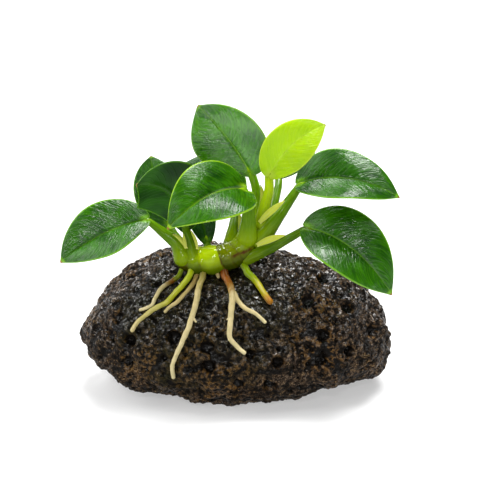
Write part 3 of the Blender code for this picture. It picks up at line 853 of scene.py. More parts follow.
class StoneForm:
    """The lava stone's form: the solid's own skin, its holes and its finer relief."""

    HALF_LENGTH = 53.3
    HALF_DEPTH = 36.0
    HEART = Vector((0.0, 0.0, 20.0))
    RISE = 28.5
    DROP = 23.5
    SQUARENESS = 2.3
    LUMPS = ((1.5, 11.0), (0.9, 5.0))
    LUMPS_PLACE = Vector((4.0, 11.0, 2.0))
    KNOB_SPACING = 9.9
    KNOB_RISE = 1.3
    KNOB_SHARPNESS = 2.6
    SWELLS = (
        (180.0, 22.0, -3.0, 9.0),
        (156.0, 36.0, 0.8, 10.0),
        (100.0, 60.0, -1.0, 20.0),
        (25.0, 36.0, -2.2, 18.0),
        (-2.0, 18.0, -1.5, 12.0),
        (-5.0, -15.0, 5.5, 9.0),
        (-28.0, -32.0, -2.5, 14.0),
        (-164.0, -20.0, -2.0, 8.0),
        (-153.0, -18.0, 2.2, 8.0),
        (-137.0, -31.0, -2.5, 8.0),
        (-178.0, -4.0, 1.0, 9.0),
    )
    FRONT_PITS = (
        (-42.0, 30.5, 2.2),
        (-41.0, 25.5, 2.1),
        (-43.5, 19.5, 2.2),
        (-36.2, 17.6, 2.0),
        (-21.0, 19.0, 2.3),
        (-37.0, 10.0, 1.9),
        (-10.0, 16.0, 2.3),
        (-9.5, 9.0, 2.2),
        (5.0, 13.5, 1.6),
        (14.0, 10.5, 2.1),
        (0.5, 2.0, 1.9),
        (11.5, 2.0, 2.1),
        (24.5, 32.0, 2.4),
        (39.0, 36.0, 2.0),
        (38.0, 29.0, 2.1),
        (29.5, 20.0, 2.3),
        (28.5, 11.0, 2.2),
        (38.5, 13.5, 1.9),
        (46.0, 8.0, 2.3),
        (47.5, 20.5, 2.1),
    )
    UPPER_PITS = ((29.4, 39.2, 2.0), (8.8, 45.2, 2.1))
    SCATTERED_PITS = 20
    PIT_SEED = 5
    PIT_BEARINGS = (-10.0, 190.0)
    PIT_HEIGHTS = (-25.0, 70.0)
    PIT_SPACING = 7.0
    PIT_RADII = (1.7, 2.5)
    PIT_SINK = 0.35
    SIGHT = Vector((0.0, math.cos(VIEW_ANGLE), -math.sin(VIEW_ANGLE)))
    ABOVE = 100.0
    SKIN_CUTS = 5

    def __init__(self) -> None:
        """Shape the plain skin and place the large holes on it."""
        self.swells = [
            (self.direction(bearing, height), rise, spread)
            for bearing, height, rise, spread in self.SWELLS
        ]
        skin = self.ball(self.SKIN_CUTS)
        self.skin = BVHTree.FromBMesh(skin)
        skin.free()
        self.pits = self.place_pits()
        self.pit_tree = make_tree([centre for centre, _ in self.pits])

    @staticmethod
    def direction(bearing: float, height: float) -> Vector:
        """Give the unit vector with this bearing from +X and this height angle."""
        turn = math.radians(bearing)
        rise = math.radians(height)
        return Vector(
            (math.cos(rise) * math.cos(turn), math.cos(rise) * math.sin(turn), math.sin(rise))
        )

    def point(self, direction: Vector) -> Vector:
        """Give the plain skin's point in a direction from the stone's heart.

        Args:
            direction: A unit vector.

        Returns:
            The point, in mm.
        """
        upright = self.RISE if direction.z > 0.0 else self.DROP
        power = self.SQUARENESS
        reach = (
            (abs(direction.x) / self.HALF_LENGTH) ** power
            + (abs(direction.y) / self.HALF_DEPTH) ** power
            + (abs(direction.z) / upright) ** power
        ) ** (-1.0 / power)
        for swell, rise, spread in self.swells:
            angle = math.degrees(direction.angle(swell))
            reach += rise * math.exp(-0.5 * (angle / spread) ** 2)
        point = self.HEART + direction * reach
        lumps = [
            height * noise.noise(point / size + self.LUMPS_PLACE) for height, size in self.LUMPS
        ]
        from_knob = noise.voronoi(point / self.KNOB_SPACING)[0][0]
        knob = self.KNOB_RISE * (1.0 - self.KNOB_SHARPNESS * from_knob**2)
        return point + direction * (sum(lumps) + knob)

    def ball(self, cuts: int) -> BMesh:
        """Shape a ball into the plain skin, cut flat underneath."""
        mesh = bmesh.new()
        bmesh.ops.create_icosphere(mesh, subdivisions=2, radius=1.0)
        bmesh.ops.subdivide_edges(mesh, edges=mesh.edges, cuts=cuts, use_grid_fill=True)
        for corner in mesh.verts:
            corner.co = self.point(corner.co.normalized()) * MM
        self.cut_flat(mesh)
        return mesh

    @staticmethod
    def cut_flat(mesh: BMesh) -> None:
        """Cut a stone flat at the floor and close the cut."""
        everything = mesh.verts[:] + mesh.edges[:] + mesh.faces[:]
        bmesh.ops.bisect_plane(
            mesh, geom=everything, dist=1e-6, plane_co=(0, 0, 0), plane_no=(0, 0, 1), clear_inner=True
        )
        rim = [edge for edge in mesh.edges if edge.is_boundary]
        bmesh.ops.contextual_create(mesh, geom=rim)

    def on_front(self, x: float, height: float, lift: float, press: float = 0.0) -> Vector:
        """Drop a front-view point onto the skin, lift it off and press it back along the view.

        Args:
            x: The point's place along the stone.
            height: Its height as seen from before the stone.
            lift: How far it is lifted off the surface.
            press: How much of the lift is taken back along the line of sight.

        Returns:
            The point.
        """
        start = Vector((x, 0.0, height)) * MM - self.SIGHT
        place, normal, _, _ = self.skin.ray_cast(start, self.SIGHT)
        slant = max(0.5, -normal.dot(self.SIGHT))
        return place / MM + normal * lift + self.SIGHT * press / slant

    def on_top(self, x: float, y: float, lift: float) -> Vector:
        """Drop a plan-view point onto the skin and lift it off the surface."""
        place, normal, _, _ = self.skin.ray_cast(Vector((x, y, self.ABOVE)) * MM, -WORLD_UP)
        return place / MM + normal * lift

    def place_pits(self) -> list[tuple[Vector, float]]:
        """List the large holes' centres and radii.

        Returns:
            A centre and a radius for each hole, in mm.
        """
        pits = [
            (self.on_front(x, height, -self.PIT_SINK * radius), radius)
            for x, height, radius in self.FRONT_PITS
        ]
        rng = random.Random(self.PIT_SEED)
        while len(pits) < len(self.FRONT_PITS) + self.SCATTERED_PITS:
            direction = self.direction(rng.uniform(*self.PIT_BEARINGS), rng.uniform(*self.PIT_HEIGHTS))
            radius = rng.uniform(*self.PIT_RADII)
            centre = self.point(direction) - direction * self.PIT_SINK * radius
            if all((centre - other).length > self.PIT_SPACING for other, _ in pits):
                pits.append((centre, radius))
        for x, height, radius in self.UPPER_PITS:
            pits.append((self.on_front(x, height, -self.PIT_SINK * radius), radius))
        return pits


def ease(start: float, stop: float, value: float) -> float:
    """Rise smoothly from 0 at start to 1 at stop."""
    share = min(1.0, max(0.0, (value - start) / (stop - start)))
    return share * share * (3.0 - 2.0 * share)


def make_tree(points: Sequence[Vector]) -> KDTree:
    """Sort points so that the nearest can be found quickly.

    Args:
        points: The points, in mm.

    Returns:
        The sorted points.
    """
    tree = KDTree(len(points))
    for index, point in enumerate(points):
        tree.insert(point, index)
    tree.balance()
    return tree


@dataclass
class StoneModel:
    """The visible stone: its skin with knobs, pores and deep round holes."""

    form: StoneForm
    beds: list[tuple[Vector, float]] = field(default_factory=list)
    cuts: int = 50

    KNOBS = ((4.2, 1.0), (2.1, 0.7))
    SINK = 0.22
    PORE_SIZE = 3.0
    PORE_DEPTH = 1.1
    PORE_SHARE = 0.65
    CRUMB_SIZE = 1.3
    CRUMB_RISE = 0.35
    PIT_DEPTH = 3.0
    PIT_WOBBLE = 0.3
    PIT_SEARCH = 4.6
    RUST_PLACES = ((-12.0, 14.0, 17.0), (-30.0, 12.0, 9.0), (24.0, 24.0, 10.0), (32.0, 14.0, 8.0))
    BACK_RUST = 0.5
    PIT_FLARE = 1.22

    def hollow(self, point: Vector) -> tuple[float, float]:
        """Give how deep a point lies in the large holes, and how rusty their rims are there.

        Args:
            point: A point of the plain skin, in mm.

        Returns:
            Both, from 0 to 1.
        """
        deepest = rusty = 0.0
        wobble = self.PIT_WOBBLE * noise.noise(point / 1.9)
        for _, index, _ in self.form.pit_tree.find_range(point, self.PIT_SEARCH):
            centre, radius = self.form.pits[index]
            away = ((point - centre).length + wobble) / (radius * self.PIT_FLARE)
            deepest = max(deepest, math.sqrt(max(0.0, 1.0 - away**2)))
            luck = 1.0 if index % 3 == 1 else 0.35
            rusty = max(rusty, luck * math.exp(-(((away - 0.98) / 0.16) ** 2)))
        return deepest, rusty

    def pore(self, point: Vector) -> float:
        """Give how deep a point lies in the small pores, from 0 to 1.

        Args:
            point: A point of the plain skin, in mm.

        Returns:
            The depth.
        """
        distances, centres = noise.voronoi(point / self.PORE_SIZE)
        luck = 0.5 + 0.5 * noise.cell(centres[0] * 3.7 + Vector((0.5, 0.5, 0.5)))
        if luck > self.PORE_SHARE:
            return 0.0
        wide = 0.25 + 0.32 * luck
        return ease(wide, wide * 0.45, distances[0])

    def knobs(self, point: Vector) -> list[float]:
        """Give the height of the rounded knobs of each size, from about -1 to 1."""
        sway = noise.noise_vector(point / 3.4) * 0.9
        return [1.0 - 2.6 * noise.voronoi((point + sway) / size)[0][0] ** 2 for size, _ in self.KNOBS]

    def calm(self, point: Vector) -> tuple[float, float, float]:
        """Give how free the relief and the holes are of the roots, and how far those press in."""
        _, index, distance = self.bed_tree.find(point)
        radius = self.beds[index][1]
        share = min(1.0, max(0.0, (distance - radius * 1.1) / 3.0))
        clear = ease(radius, radius * 1.5, distance)
        return share, clear, max(0.0, radius * 0.96 - distance)

    def rusty(self, point: Vector) -> float:
        """Give how rusty the stone is at a point.

        Args:
            point: A point of the plain skin, in mm.

        Returns:
            The rust, from 0 to 1.
        """
        stain = 0.0
        height = point.z + point.y * math.tan(VIEW_ANGLE)
        for x, level, spread in self.RUST_PLACES:
            away = math.hypot(point.x - x, height - level)
            stain = max(stain, math.exp(-((away / spread) ** 2)))
        if point.y > 0.0:
            stain = self.BACK_RUST
        cloud = noise.noise(point / 7.0 + Vector((3.0, 1.0, 8.0)))
        return min(1.0, max(0.0, stain * (0.75 + 1.4 * cloud)))

    def damp(self, point: Vector) -> float:
        """Give how dark and mossy the stone is, which it is round the roots."""
        _, _, distance = self.bed_tree.find(point)
        cloud = noise.noise(point / 5.0 + Vector((9.0, 2.0, 4.0)))
        return min(1.0, max(0.0, 1.1 - distance / 14.0 + 0.5 * cloud))

    def build(self) -> Object:
        """Make the stone.

        Returns:
            The stone's object.
        """
        form = self.form
        self.bed_tree = make_tree([centre for centre, _ in self.beds])
        mesh = start_mesh()
        place = mesh.verts.layers.float_vector[Layer.PLACE.value]
        grain = mesh.verts.layers.float_vector[Layer.GRAIN.value]
        bmesh.ops.create_icosphere(mesh, subdivisions=2, radius=1.0)
        bmesh.ops.subdivide_edges(mesh, edges=mesh.edges, cuts=self.cuts, use_grid_fill=True)
        for corner in mesh.verts:
            corner[grain] = form.point(corner.co.normalized())
            corner.co = corner[grain]
        mesh.normal_update()
        for corner in mesh.verts:
            point = corner[grain].copy()
            (hollow, rim), pore = self.hollow(point), self.pore(point)
            share, clear, press = self.calm(point)
            knobs = self.knobs(point)
            rise = sum(height * 0.5 * knob for (_, height), knob in zip(self.KNOBS, knobs)) - self.SINK
            rise += self.CRUMB_RISE * noise.fractal(point / self.CRUMB_SIZE, 1.0, 2.1, 2)
            rise *= (1.0 - 0.75 * hollow) * share
            rise -= press + (self.PIT_DEPTH * hollow + self.PORE_DEPTH * pore) * clear
            # Painted shade: the large holes, the pores and the crevices between the knobs go into the first place
            # number, which the stone's material paints near black.
            painted_crevice_shade = ease(0.15, -0.75, knobs[0]) * 0.8 + ease(0.2, -0.7, knobs[1]) * 0.45
            dark = max(hollow, pore * 0.7, min(0.7, painted_crevice_shade) * share) * clear
            corner[place] = (dark, min(1.0, self.rusty(point) + rim), self.damp(point))
            corner[grain] = point + corner.normal * rise
            corner.co = corner[grain] * MM
        form.cut_flat(mesh)
        return settle("lava_stone", mesh, (StoneFinish().build(),))


FRESH = LeafFinish(
    name="fresh leaf",
    dark=(0.004, 0.044, 0.0002),
    light=(0.044, 0.2, 0.0004),
    rib=(0.2, 0.42, 0.01),
    rim=(0.3, 0.55, 0.01),
    roughness=0.2,
    glow=0.14,
    gloss=0.3,
    ripple=0.2,
)
GREEN = LeafFinish(
    name="green leaf",
    dark=(0.004, 0.044, 0.0002),
    light=(0.036, 0.175, 0.0004),
    rib=(0.13, 0.34, 0.01),
    rim=(0.16, 0.4, 0.01),
    roughness=0.19,
    glow=0.1,
    gloss=0.42,
    ripple=0.24,
)
SATIN = replace(GREEN, name="satin leaf", gloss=0.32)
BRIGHT = LeafFinish(
    name="bright leaf",
    dark=(0.012, 0.105, 0.0004),
    light=(0.09, 0.36, 0.001),
    rib=(0.18, 0.42, 0.01),
    rim=(0.16, 0.4, 0.01),
    roughness=0.2,
    glow=0.12,
    gloss=0.9,
)
# A darker copy of the green leaf for the inner and back-facing leaves: partly a duller leaf colour, partly painted
# shade where they lie under the other leaves.
DULL_SHADED = LeafFinish(
    name="deep leaf",
    dark=(0.002, 0.034, 0.0003),
    light=(0.014, 0.09, 0.0004),
    rib=(0.03, 0.12, 0.002),
    rim=(0.08, 0.24, 0.004),
    roughness=0.3,
    glow=0.06,
    gloss=0.2,
)
YOUNG = LeafFinish(
    name="young leaf",
    dark=(0.42, 0.68, 0.001),
    light=(0.62, 0.84, 0.002),
    rib=(0.78, 0.94, 0.1),
    rim=(0.74, 0.9, 0.08),
    roughness=0.26,
    glow=0.45,
    gloss=0.3,
    groove=0.3,
    vein=0.3,
)
HUSK = LeafFinish(
    name="husk",
    dark=(0.76, 0.82, 0.04),
    light=(0.88, 0.92, 0.14),
    rib=(0.82, 0.84, 0.25),
    rim=(0.85, 0.85, 0.3),
    roughness=0.4,
    glow=0.6,
    gloss=0.3,
    ripple=0.04,
)
GREEN_HUSK = LeafFinish(
    name="green husk",
    dark=(0.3, 0.42, 0.008),
    light=(0.6, 0.66, 0.04),
    rib=(0.6, 0.62, 0.1),
    rim=(0.66, 0.68, 0.14),
    roughness=0.4,
    glow=0.25,
    gloss=0.3,
    ripple=0.04,
)

LEAVES: dict[str, tuple[Blade, LeafFinish]] = {
    "left": (
        Blade(
            base=(-30.1, -17.0, 64.6),
            belly=(-44.7, -19.5, 60.5),
            tip=(-59.4, -24.0, 51.6),
            facing=(0.0, -0.65, 0.76),
            half_width=11.2,
            folds=(26.0, 28.0),
            fullest=(0.48, 0.45),
        ),
        GREEN,
    ),
    "back_left": (
        Blade(
            base=(-23.1, -9.0, 60.4),
            belly=(-27.6, -6.0, 72.6),
            tip=(-29.8, -1.0, 83.5),
            facing=(-0.1, -0.9, 0.3),
            half_width=8.3,
            folds=(28.0, 15.0),
            fullest=(0.45, 0.5),
        ),
        GREEN,
    ),
    "mid_left": (
        Blade(
            base=(-17.7, -17.0, 62.6),
            belly=(-22.6, -25.0, 76.3),
            tip=(-32.7, -31.0, 80.0),
            facing=(-0.48, 0.85, 0.2),
            half_width=12.5,
            folds=(8.0, 40.0),
            fullest=(0.38, 0.58),
            lobes=(0.1, 0.1),
            wave=0.0,
        ),
        DULL_SHADED,
    ),
    "front": (
        Blade(
            base=(3.2, -22.0, 76.2),
            belly=(-9.2, -33.0, 76.7),
            tip=(-22.2, -40.0, 67.4),
            facing=(0.0, -0.65, 0.76),
            half_width=12.0,
            folds=(14.0, 27.0),
            fullest=(0.38, 0.38),
            lobes=(0.08, 0.03),
        ),
        FRESH,
    ),
    "top": (
        Blade(
            base=(5.0, -7.0, 78.4),
            belly=(-2.8, -8.0, 91.0),
            tip=(-13.2, -4.0, 101.8),
            facing=(-0.35, -0.9, 0.3),
            half_width=12.2,
            folds=(12.0, 24.0),
            fullest=(0.55, 0.39),
        ),
        BRIGHT,
    ),
    "young": (
        Blade(
            base=(11.0, -15.0, 79.1),
            belly=(19.0, -17.0, 90.9),
            tip=(29.9, -14.0, 96.8),
            facing=(0.1, -0.95, 0.3),
            half_width=8.0,
            folds=(15.0, 28.0),
            fullest=(0.40, 0.46),
            lobes=(0.0, 0.0),
        ),
        YOUNG,
    ),
    "upper_right": (
        Blade(
            base=(20.9, -14.0, 76.1),
            belly=(36.8, -19.0, 79.4),
            tip=(54.6, -22.0, 73.6),
            facing=(0.05, -0.55, 0.83),
            half_width=11.5,
            folds=(26.0, 20.0),
            fullest=(0.40, 0.46),
        ),
        SATIN,
    ),
    "lower_right": (
        Blade(
            base=(22.9, -20.0, 62.6),
            belly=(38.0, -28.0, 57.8),
            tip=(51.8, -32.0, 42.6),
            facing=(0.2, -0.75, 0.63),
            half_width=12.3,
            folds=(27.0, 22.0),
            fullest=(0.42, 0.46),
        ),
        GREEN,
    ),
    "small_inner": (
        Blade(
            base=(-10.1, -13.5, 55.6),
            belly=(-12.4, -10.5, 65.6),
            tip=(-14.8, -5.5, 74.2),
            facing=(0.1, -0.97, 0.2),
            half_width=4.8,
            lobes=(0.0, 0.0),
        ),
        DULL_SHADED,
    ),
    "back_middle": (
        Blade(
            base=(0.5, -4.0, 67.5),
            belly=(-7.6, 0.0, 75.5),
            tip=(-18.6, 7.0, 79.2),
            facing=(-0.3, -0.5, 0.8),
            half_width=9.0,
            folds=(20.0, 24.0),
        ),
        GREEN,
    ),
    "back_right": (
        Blade(
            base=(14.9, 2.0, 75.4),
            belly=(21.2, 6.5, 82.0),
            tip=(27.3, 13.0, 86.2),
            facing=(0.3, -0.6, 0.75),
            half_width=5.8,
            folds=(14.0, 30.0),
            fullest=(0.48, 0.48),
            lobes=(0.0, 0.0),
        ),
        GREEN,
    ),
}

STALKS: dict[str, Stalk] = {
    "young": Stalk(((8.0, -15.5, 60.0), (9.5, -15.5, 68.0), (11.0, -15.0, 74.0)), (2.5, 1.4)),
    "left": Stalk(
        ((-17.4, -18.5, 48.2), (-18.3, -18.1, 52.2), (-20.4, -17.3, 56.4), (-24.4, -16.6, 59.6)), (3.3, 1.0), 0.3
    ),
    "back_left": Stalk(((-16.5, -14.5, 51.5), (-19.0, -12.0, 55.0), (-21.5, -10.0, 57.8)), (1.7, 1.2)),
    "mid_left": Stalk(((-13.8, -18.9, 49.8), (-15.5, -18.7, 56.4), (-16.9, -18.1, 60.5)), (2.4, 1.0), 0.6),
    "small_inner": Stalk(((-9.8, -15.5, 50.5), (-9.9, -14.2, 53.0)), (1.8, 1.1)),
    "back_middle": Stalk(((-2.6, -16.0, 54.0), (-1.5, -13.6, 59.0), (-0.4, -9.5, 64.0)), (2.1, 1.4)),
    "top": Stalk(((5.5, -12.5, 61.0), (6.8, -9.5, 67.0), (6.8, -8.0, 73.0)), (1.9, 1.4)),
    "front": Stalk(((3.4, -17.6, 56.0), (3.9, -20.4, 63.0), (4.0, -21.7, 69.5)), (3.4, 1.4)),
    "upper_right": Stalk(((6.0, -16.5, 55.0), (9.6, -17.3, 59.5), (14.8, -17.0, 66.7)), (3.2, 1.3)),
    "lower_right": Stalk(
        ((0.8, -18.2, 50.8), (4.2, -18.9, 52.0), (8.0, -20.2, 53.9), (12.9, -20.7, 56.4), (18.1, -20.6, 59.3)),
        (2.5, 1.2),
        0.1,
    ),
    "back_right": Stalk(((9.0, -12.5, 60.0), (12.5, -7.0, 66.0), (14.5, -1.0, 72.0)), (1.7, 1.3)),
}

SHEATH_FACING = (-0.3, -0.9, 0.3)
SHEATHS: dict[str, tuple[Point, Point, Point, float]] = {
    "upper_right": ((7.8, -18.6, 64.2), (11.6, -19.3, 68.2), (16.3, -18.5, 71.7), 1.1),
    "lower_right": ((7.0, -21.5, 57.0), (11.4, -21.8, 59.1), (16.3, -21.6, 60.4), 1.1),
    "top": ((7.9, -12.2, 66.5), (8.9, -11.2, 71.0), (8.2, -10.6, 75.3), 0.8),
    "left": ((-17.3, -19.8, 55.4), (-18.9, -19.5, 58.4), (-21.6, -18.8, 60.0), 0.7),
    "mid_left": ((-17.1, -20.6, 55.6), (-17.6, -20.8, 58.3), (-18.0, -20.4, 60.6), 0.5),
    "mid_inner": ((-13.3, -20.8, 55.4), (-14.0, -20.9, 58.8), (-15.6, -20.4, 61.9), 0.5),
    "back_middle": ((1.0, -15.5, 58.0), (1.3, -14.8, 62.5), (0.9, -14.0, 66.2), 0.8),
}

RHIZOME = (
    (-20.3, -17.0, 49.4, 3.4),
    (-18.6, -17.2, 49.8, 4.3),
    (-15.5, -17.5, 50.2, 4.9),
    (-13.4, -17.8, 50.4, 4.9),
    (-10.0, -18.0, 50.7, 5.15),
    (-6.5, -18.0, 51.2, 5.0),
    (-4.4, -18.0, 51.6, 4.75),
    (-1.5, -17.8, 52.6, 4.8),
    (1.2, -17.2, 54.1, 4.6),
    (3.2, -16.6, 56.6, 4.5),
    (4.9, -15.8, 59.4, 4.3),
    (6.0, -15.2, 61.8, 3.4),
)

ROOTS: dict[str, Root] = {
    "far_left": Root(
        start=((-18.0, -17.5, 49.5), (-19.5, -19.5, 46.0)),
        front=((-21.6, 37.2), (-24.9, 35.4), (-27.0, 32.6), (-28.8, 29.6), (-32.6, 28.0)),
        radii=(0.95, 0.55),
    ),
    "left": Root(
        start=((-14.8, -19.5, 50.0), (-16.3, -22.7, 46.0)),
        front=((-19.8, 34.3), (-23.4, 31.0), (-27.0, 29.0), (-30.2, 26.6), (-33.2, 23.8), (-35.4, 20.6)),
        radii=(1.1, 0.7),
    ),
    "mid_left": Root(
        start=((-12.8, -17.5, 48.5), (-13.9, -21.3, 45.4)),
        front=((-15.4, 35.8), (-19.2, 31.4), (-21.8, 29.0), (-24.0, 27.4)),
        radii=(0.9, 0.6),
    ),
    "long": Root(
        start=((-11.1, -19.0, 48.5), (-11.6, -22.6, 45.5)),
        front=(
            (-12.4, 36.0),
            (-13.9, 31.2),
            (-14.3, 26.2),
            (-15.9, 22.2),
            (-17.9, 17.6),
            (-20.3, 13.1),
            (-21.3, 9.4),
            (-20.8, 4.9),
        ),
        radii=(1.15, 0.7),
        nubs=((0.44, -1.0, 1.6), (0.66, -1.0, 0.5)),
    ),
    "middle": Root(
        start=((-4.6, -19.5, 48.5), (-3.9, -22.3, 46.0)),
        front=(
            (-2.6, 37.6),
            (-1.4, 33.6),
            (-2.0, 28.4),
            (-2.2, 23.6),
            (-2.4, 19.3),
            (-0.5, 16.2),
            (2.8, 13.2),
        ),
        radii=(1.35, 0.7),
        nubs=((0.58, 1.0, 0.4), (0.78, 1.0, 0.4)),
    ),
    "middle_branch": Root(
        front=((-1.0, 34.4), (0.8, 31.4), (3.4, 29.2), (6.6, 27.7), (9.8, 24.5)),
        radii=(0.9, 0.55),
    ),
    "right": Root(
        start=((2.0, -18.5, 50.4), (3.8, -21.9, 47.4)),
        front=((6.0, 37.4), (8.8, 33.4), (11.7, 30.2)),
        radii=(1.3, 1.0),
    ),
    "stub": Root(start=((-7.0, -19.0, 48.0),), front=((-6.3, 38.4),), radii=(0.8, 0.55)),
    "back_left": Root(
        start=((-9.5, -16.0, 50.3),),
        top=((-11.0, -10.8), (-14.5, -5.0), (-15.5, 2.0), (-19.0, 9.0), (-20.0, 17.0)),
        radii=(1.05, 0.6),
    ),
    "back_right": Root(
        start=((-3.5, -15.5, 52.0),),
        top=((-2.6, -10.6), (1.5, -5.5), (6.0, -2.0), (8.5, 5.0), (12.0, 12.0)),
        radii=(1.0, 0.6),
    ),
}

CREAM = (0.72, 0.58, 0.28)
PALE = (0.8, 0.68, 0.38)
SHOOT = (0.26, 0.4, 0.003)
TAN = (0.45, 0.28, 0.07)
RUSSET = (0.3, 0.09, 0.005)
ROOT_STOPS: dict[str, tuple[tuple[float, Colour], ...]] = {
    "far_left": (
        (0.0, SHOOT), (0.22, (0.22, 0.26, 0.006)), (0.3, RUSSET), (0.36, TAN), (0.46, CREAM), (1.0, PALE)
    ),
    "left": ((0.0, (0.34, 0.46, 0.003)), (0.2, (0.46, 0.54, 0.008)), (0.5, (0.5, 0.48, 0.03)), (0.72, (0.6, 0.52, 0.16)), (1.0, CREAM)),
    "mid_left": ((0.0, TAN), (0.4, (0.55, 0.4, 0.14)), (1.0, CREAM)),
    "long": ((0.0, (0.3, 0.26, 0.03)), (0.16, (0.5, 0.4, 0.12)), (0.26, CREAM), (1.0, PALE)),
    "middle": (
        (0.0, (0.2, 0.045, 0.003)), (0.14, (0.34, 0.09, 0.004)), (0.27, (0.4, 0.2, 0.03)), (0.36, CREAM), (1.0, PALE)
    ),
    "middle_branch": ((0.0, CREAM), (0.5, CREAM), (1.0, PALE)),
    "right": (
        (0.0, SHOOT), (0.25, (0.26, 0.4, 0.003)), (0.5, (0.48, 0.48, 0.006)), (0.8, (0.5, 0.38, 0.012)), (1.0, (0.36, 0.13, 0.006))
    ),
    "stub": ((0.0, TAN), (1.0, CREAM)),
    "back_left": ((0.0, SHOOT), (0.3, CREAM), (1.0, PALE)),
    "back_right": ((0.0, TAN), (0.3, CREAM), (1.0, PALE)),
}

STALK_TONES = {"lower_right": 0.66, "top": 1.5, "front": 1.15, "mid_left": 0.85}
STALK_STOPS = (
    (0.0, (0.25, 0.38, 0.002)),
    (0.3, (0.105, 0.23, 0.001)),
    (0.75, (0.105, 0.25, 0.001)),
    (0.95, (0.3, 0.5, 0.002)),
)
YOUNG_STOPS = ((0.0, (0.3, 0.42, 0.004)), (0.3, (0.42, 0.62, 0.004)), (1.0, (0.54, 0.76, 0.006)))
RHIZOME_STOPS = (
    (0.0, (0.2, 0.18, 0.002)),
    (0.06, (0.22, 0.34, 0.001)),
    (0.19, (0.28, 0.42, 0.001)),
    (0.205, (0.46, 0.62, 0.002)),
    (0.3, (0.58, 0.8, 0.002)),
    (0.472, (0.5, 0.68, 0.002)),
    (0.478, (0.16, 0.2, 0.001)),
    (0.7, (0.2, 0.26, 0.001)),
    (0.8, (0.26, 0.38, 0.001)),
    (1.0, (0.34, 0.48, 0.002)),
)


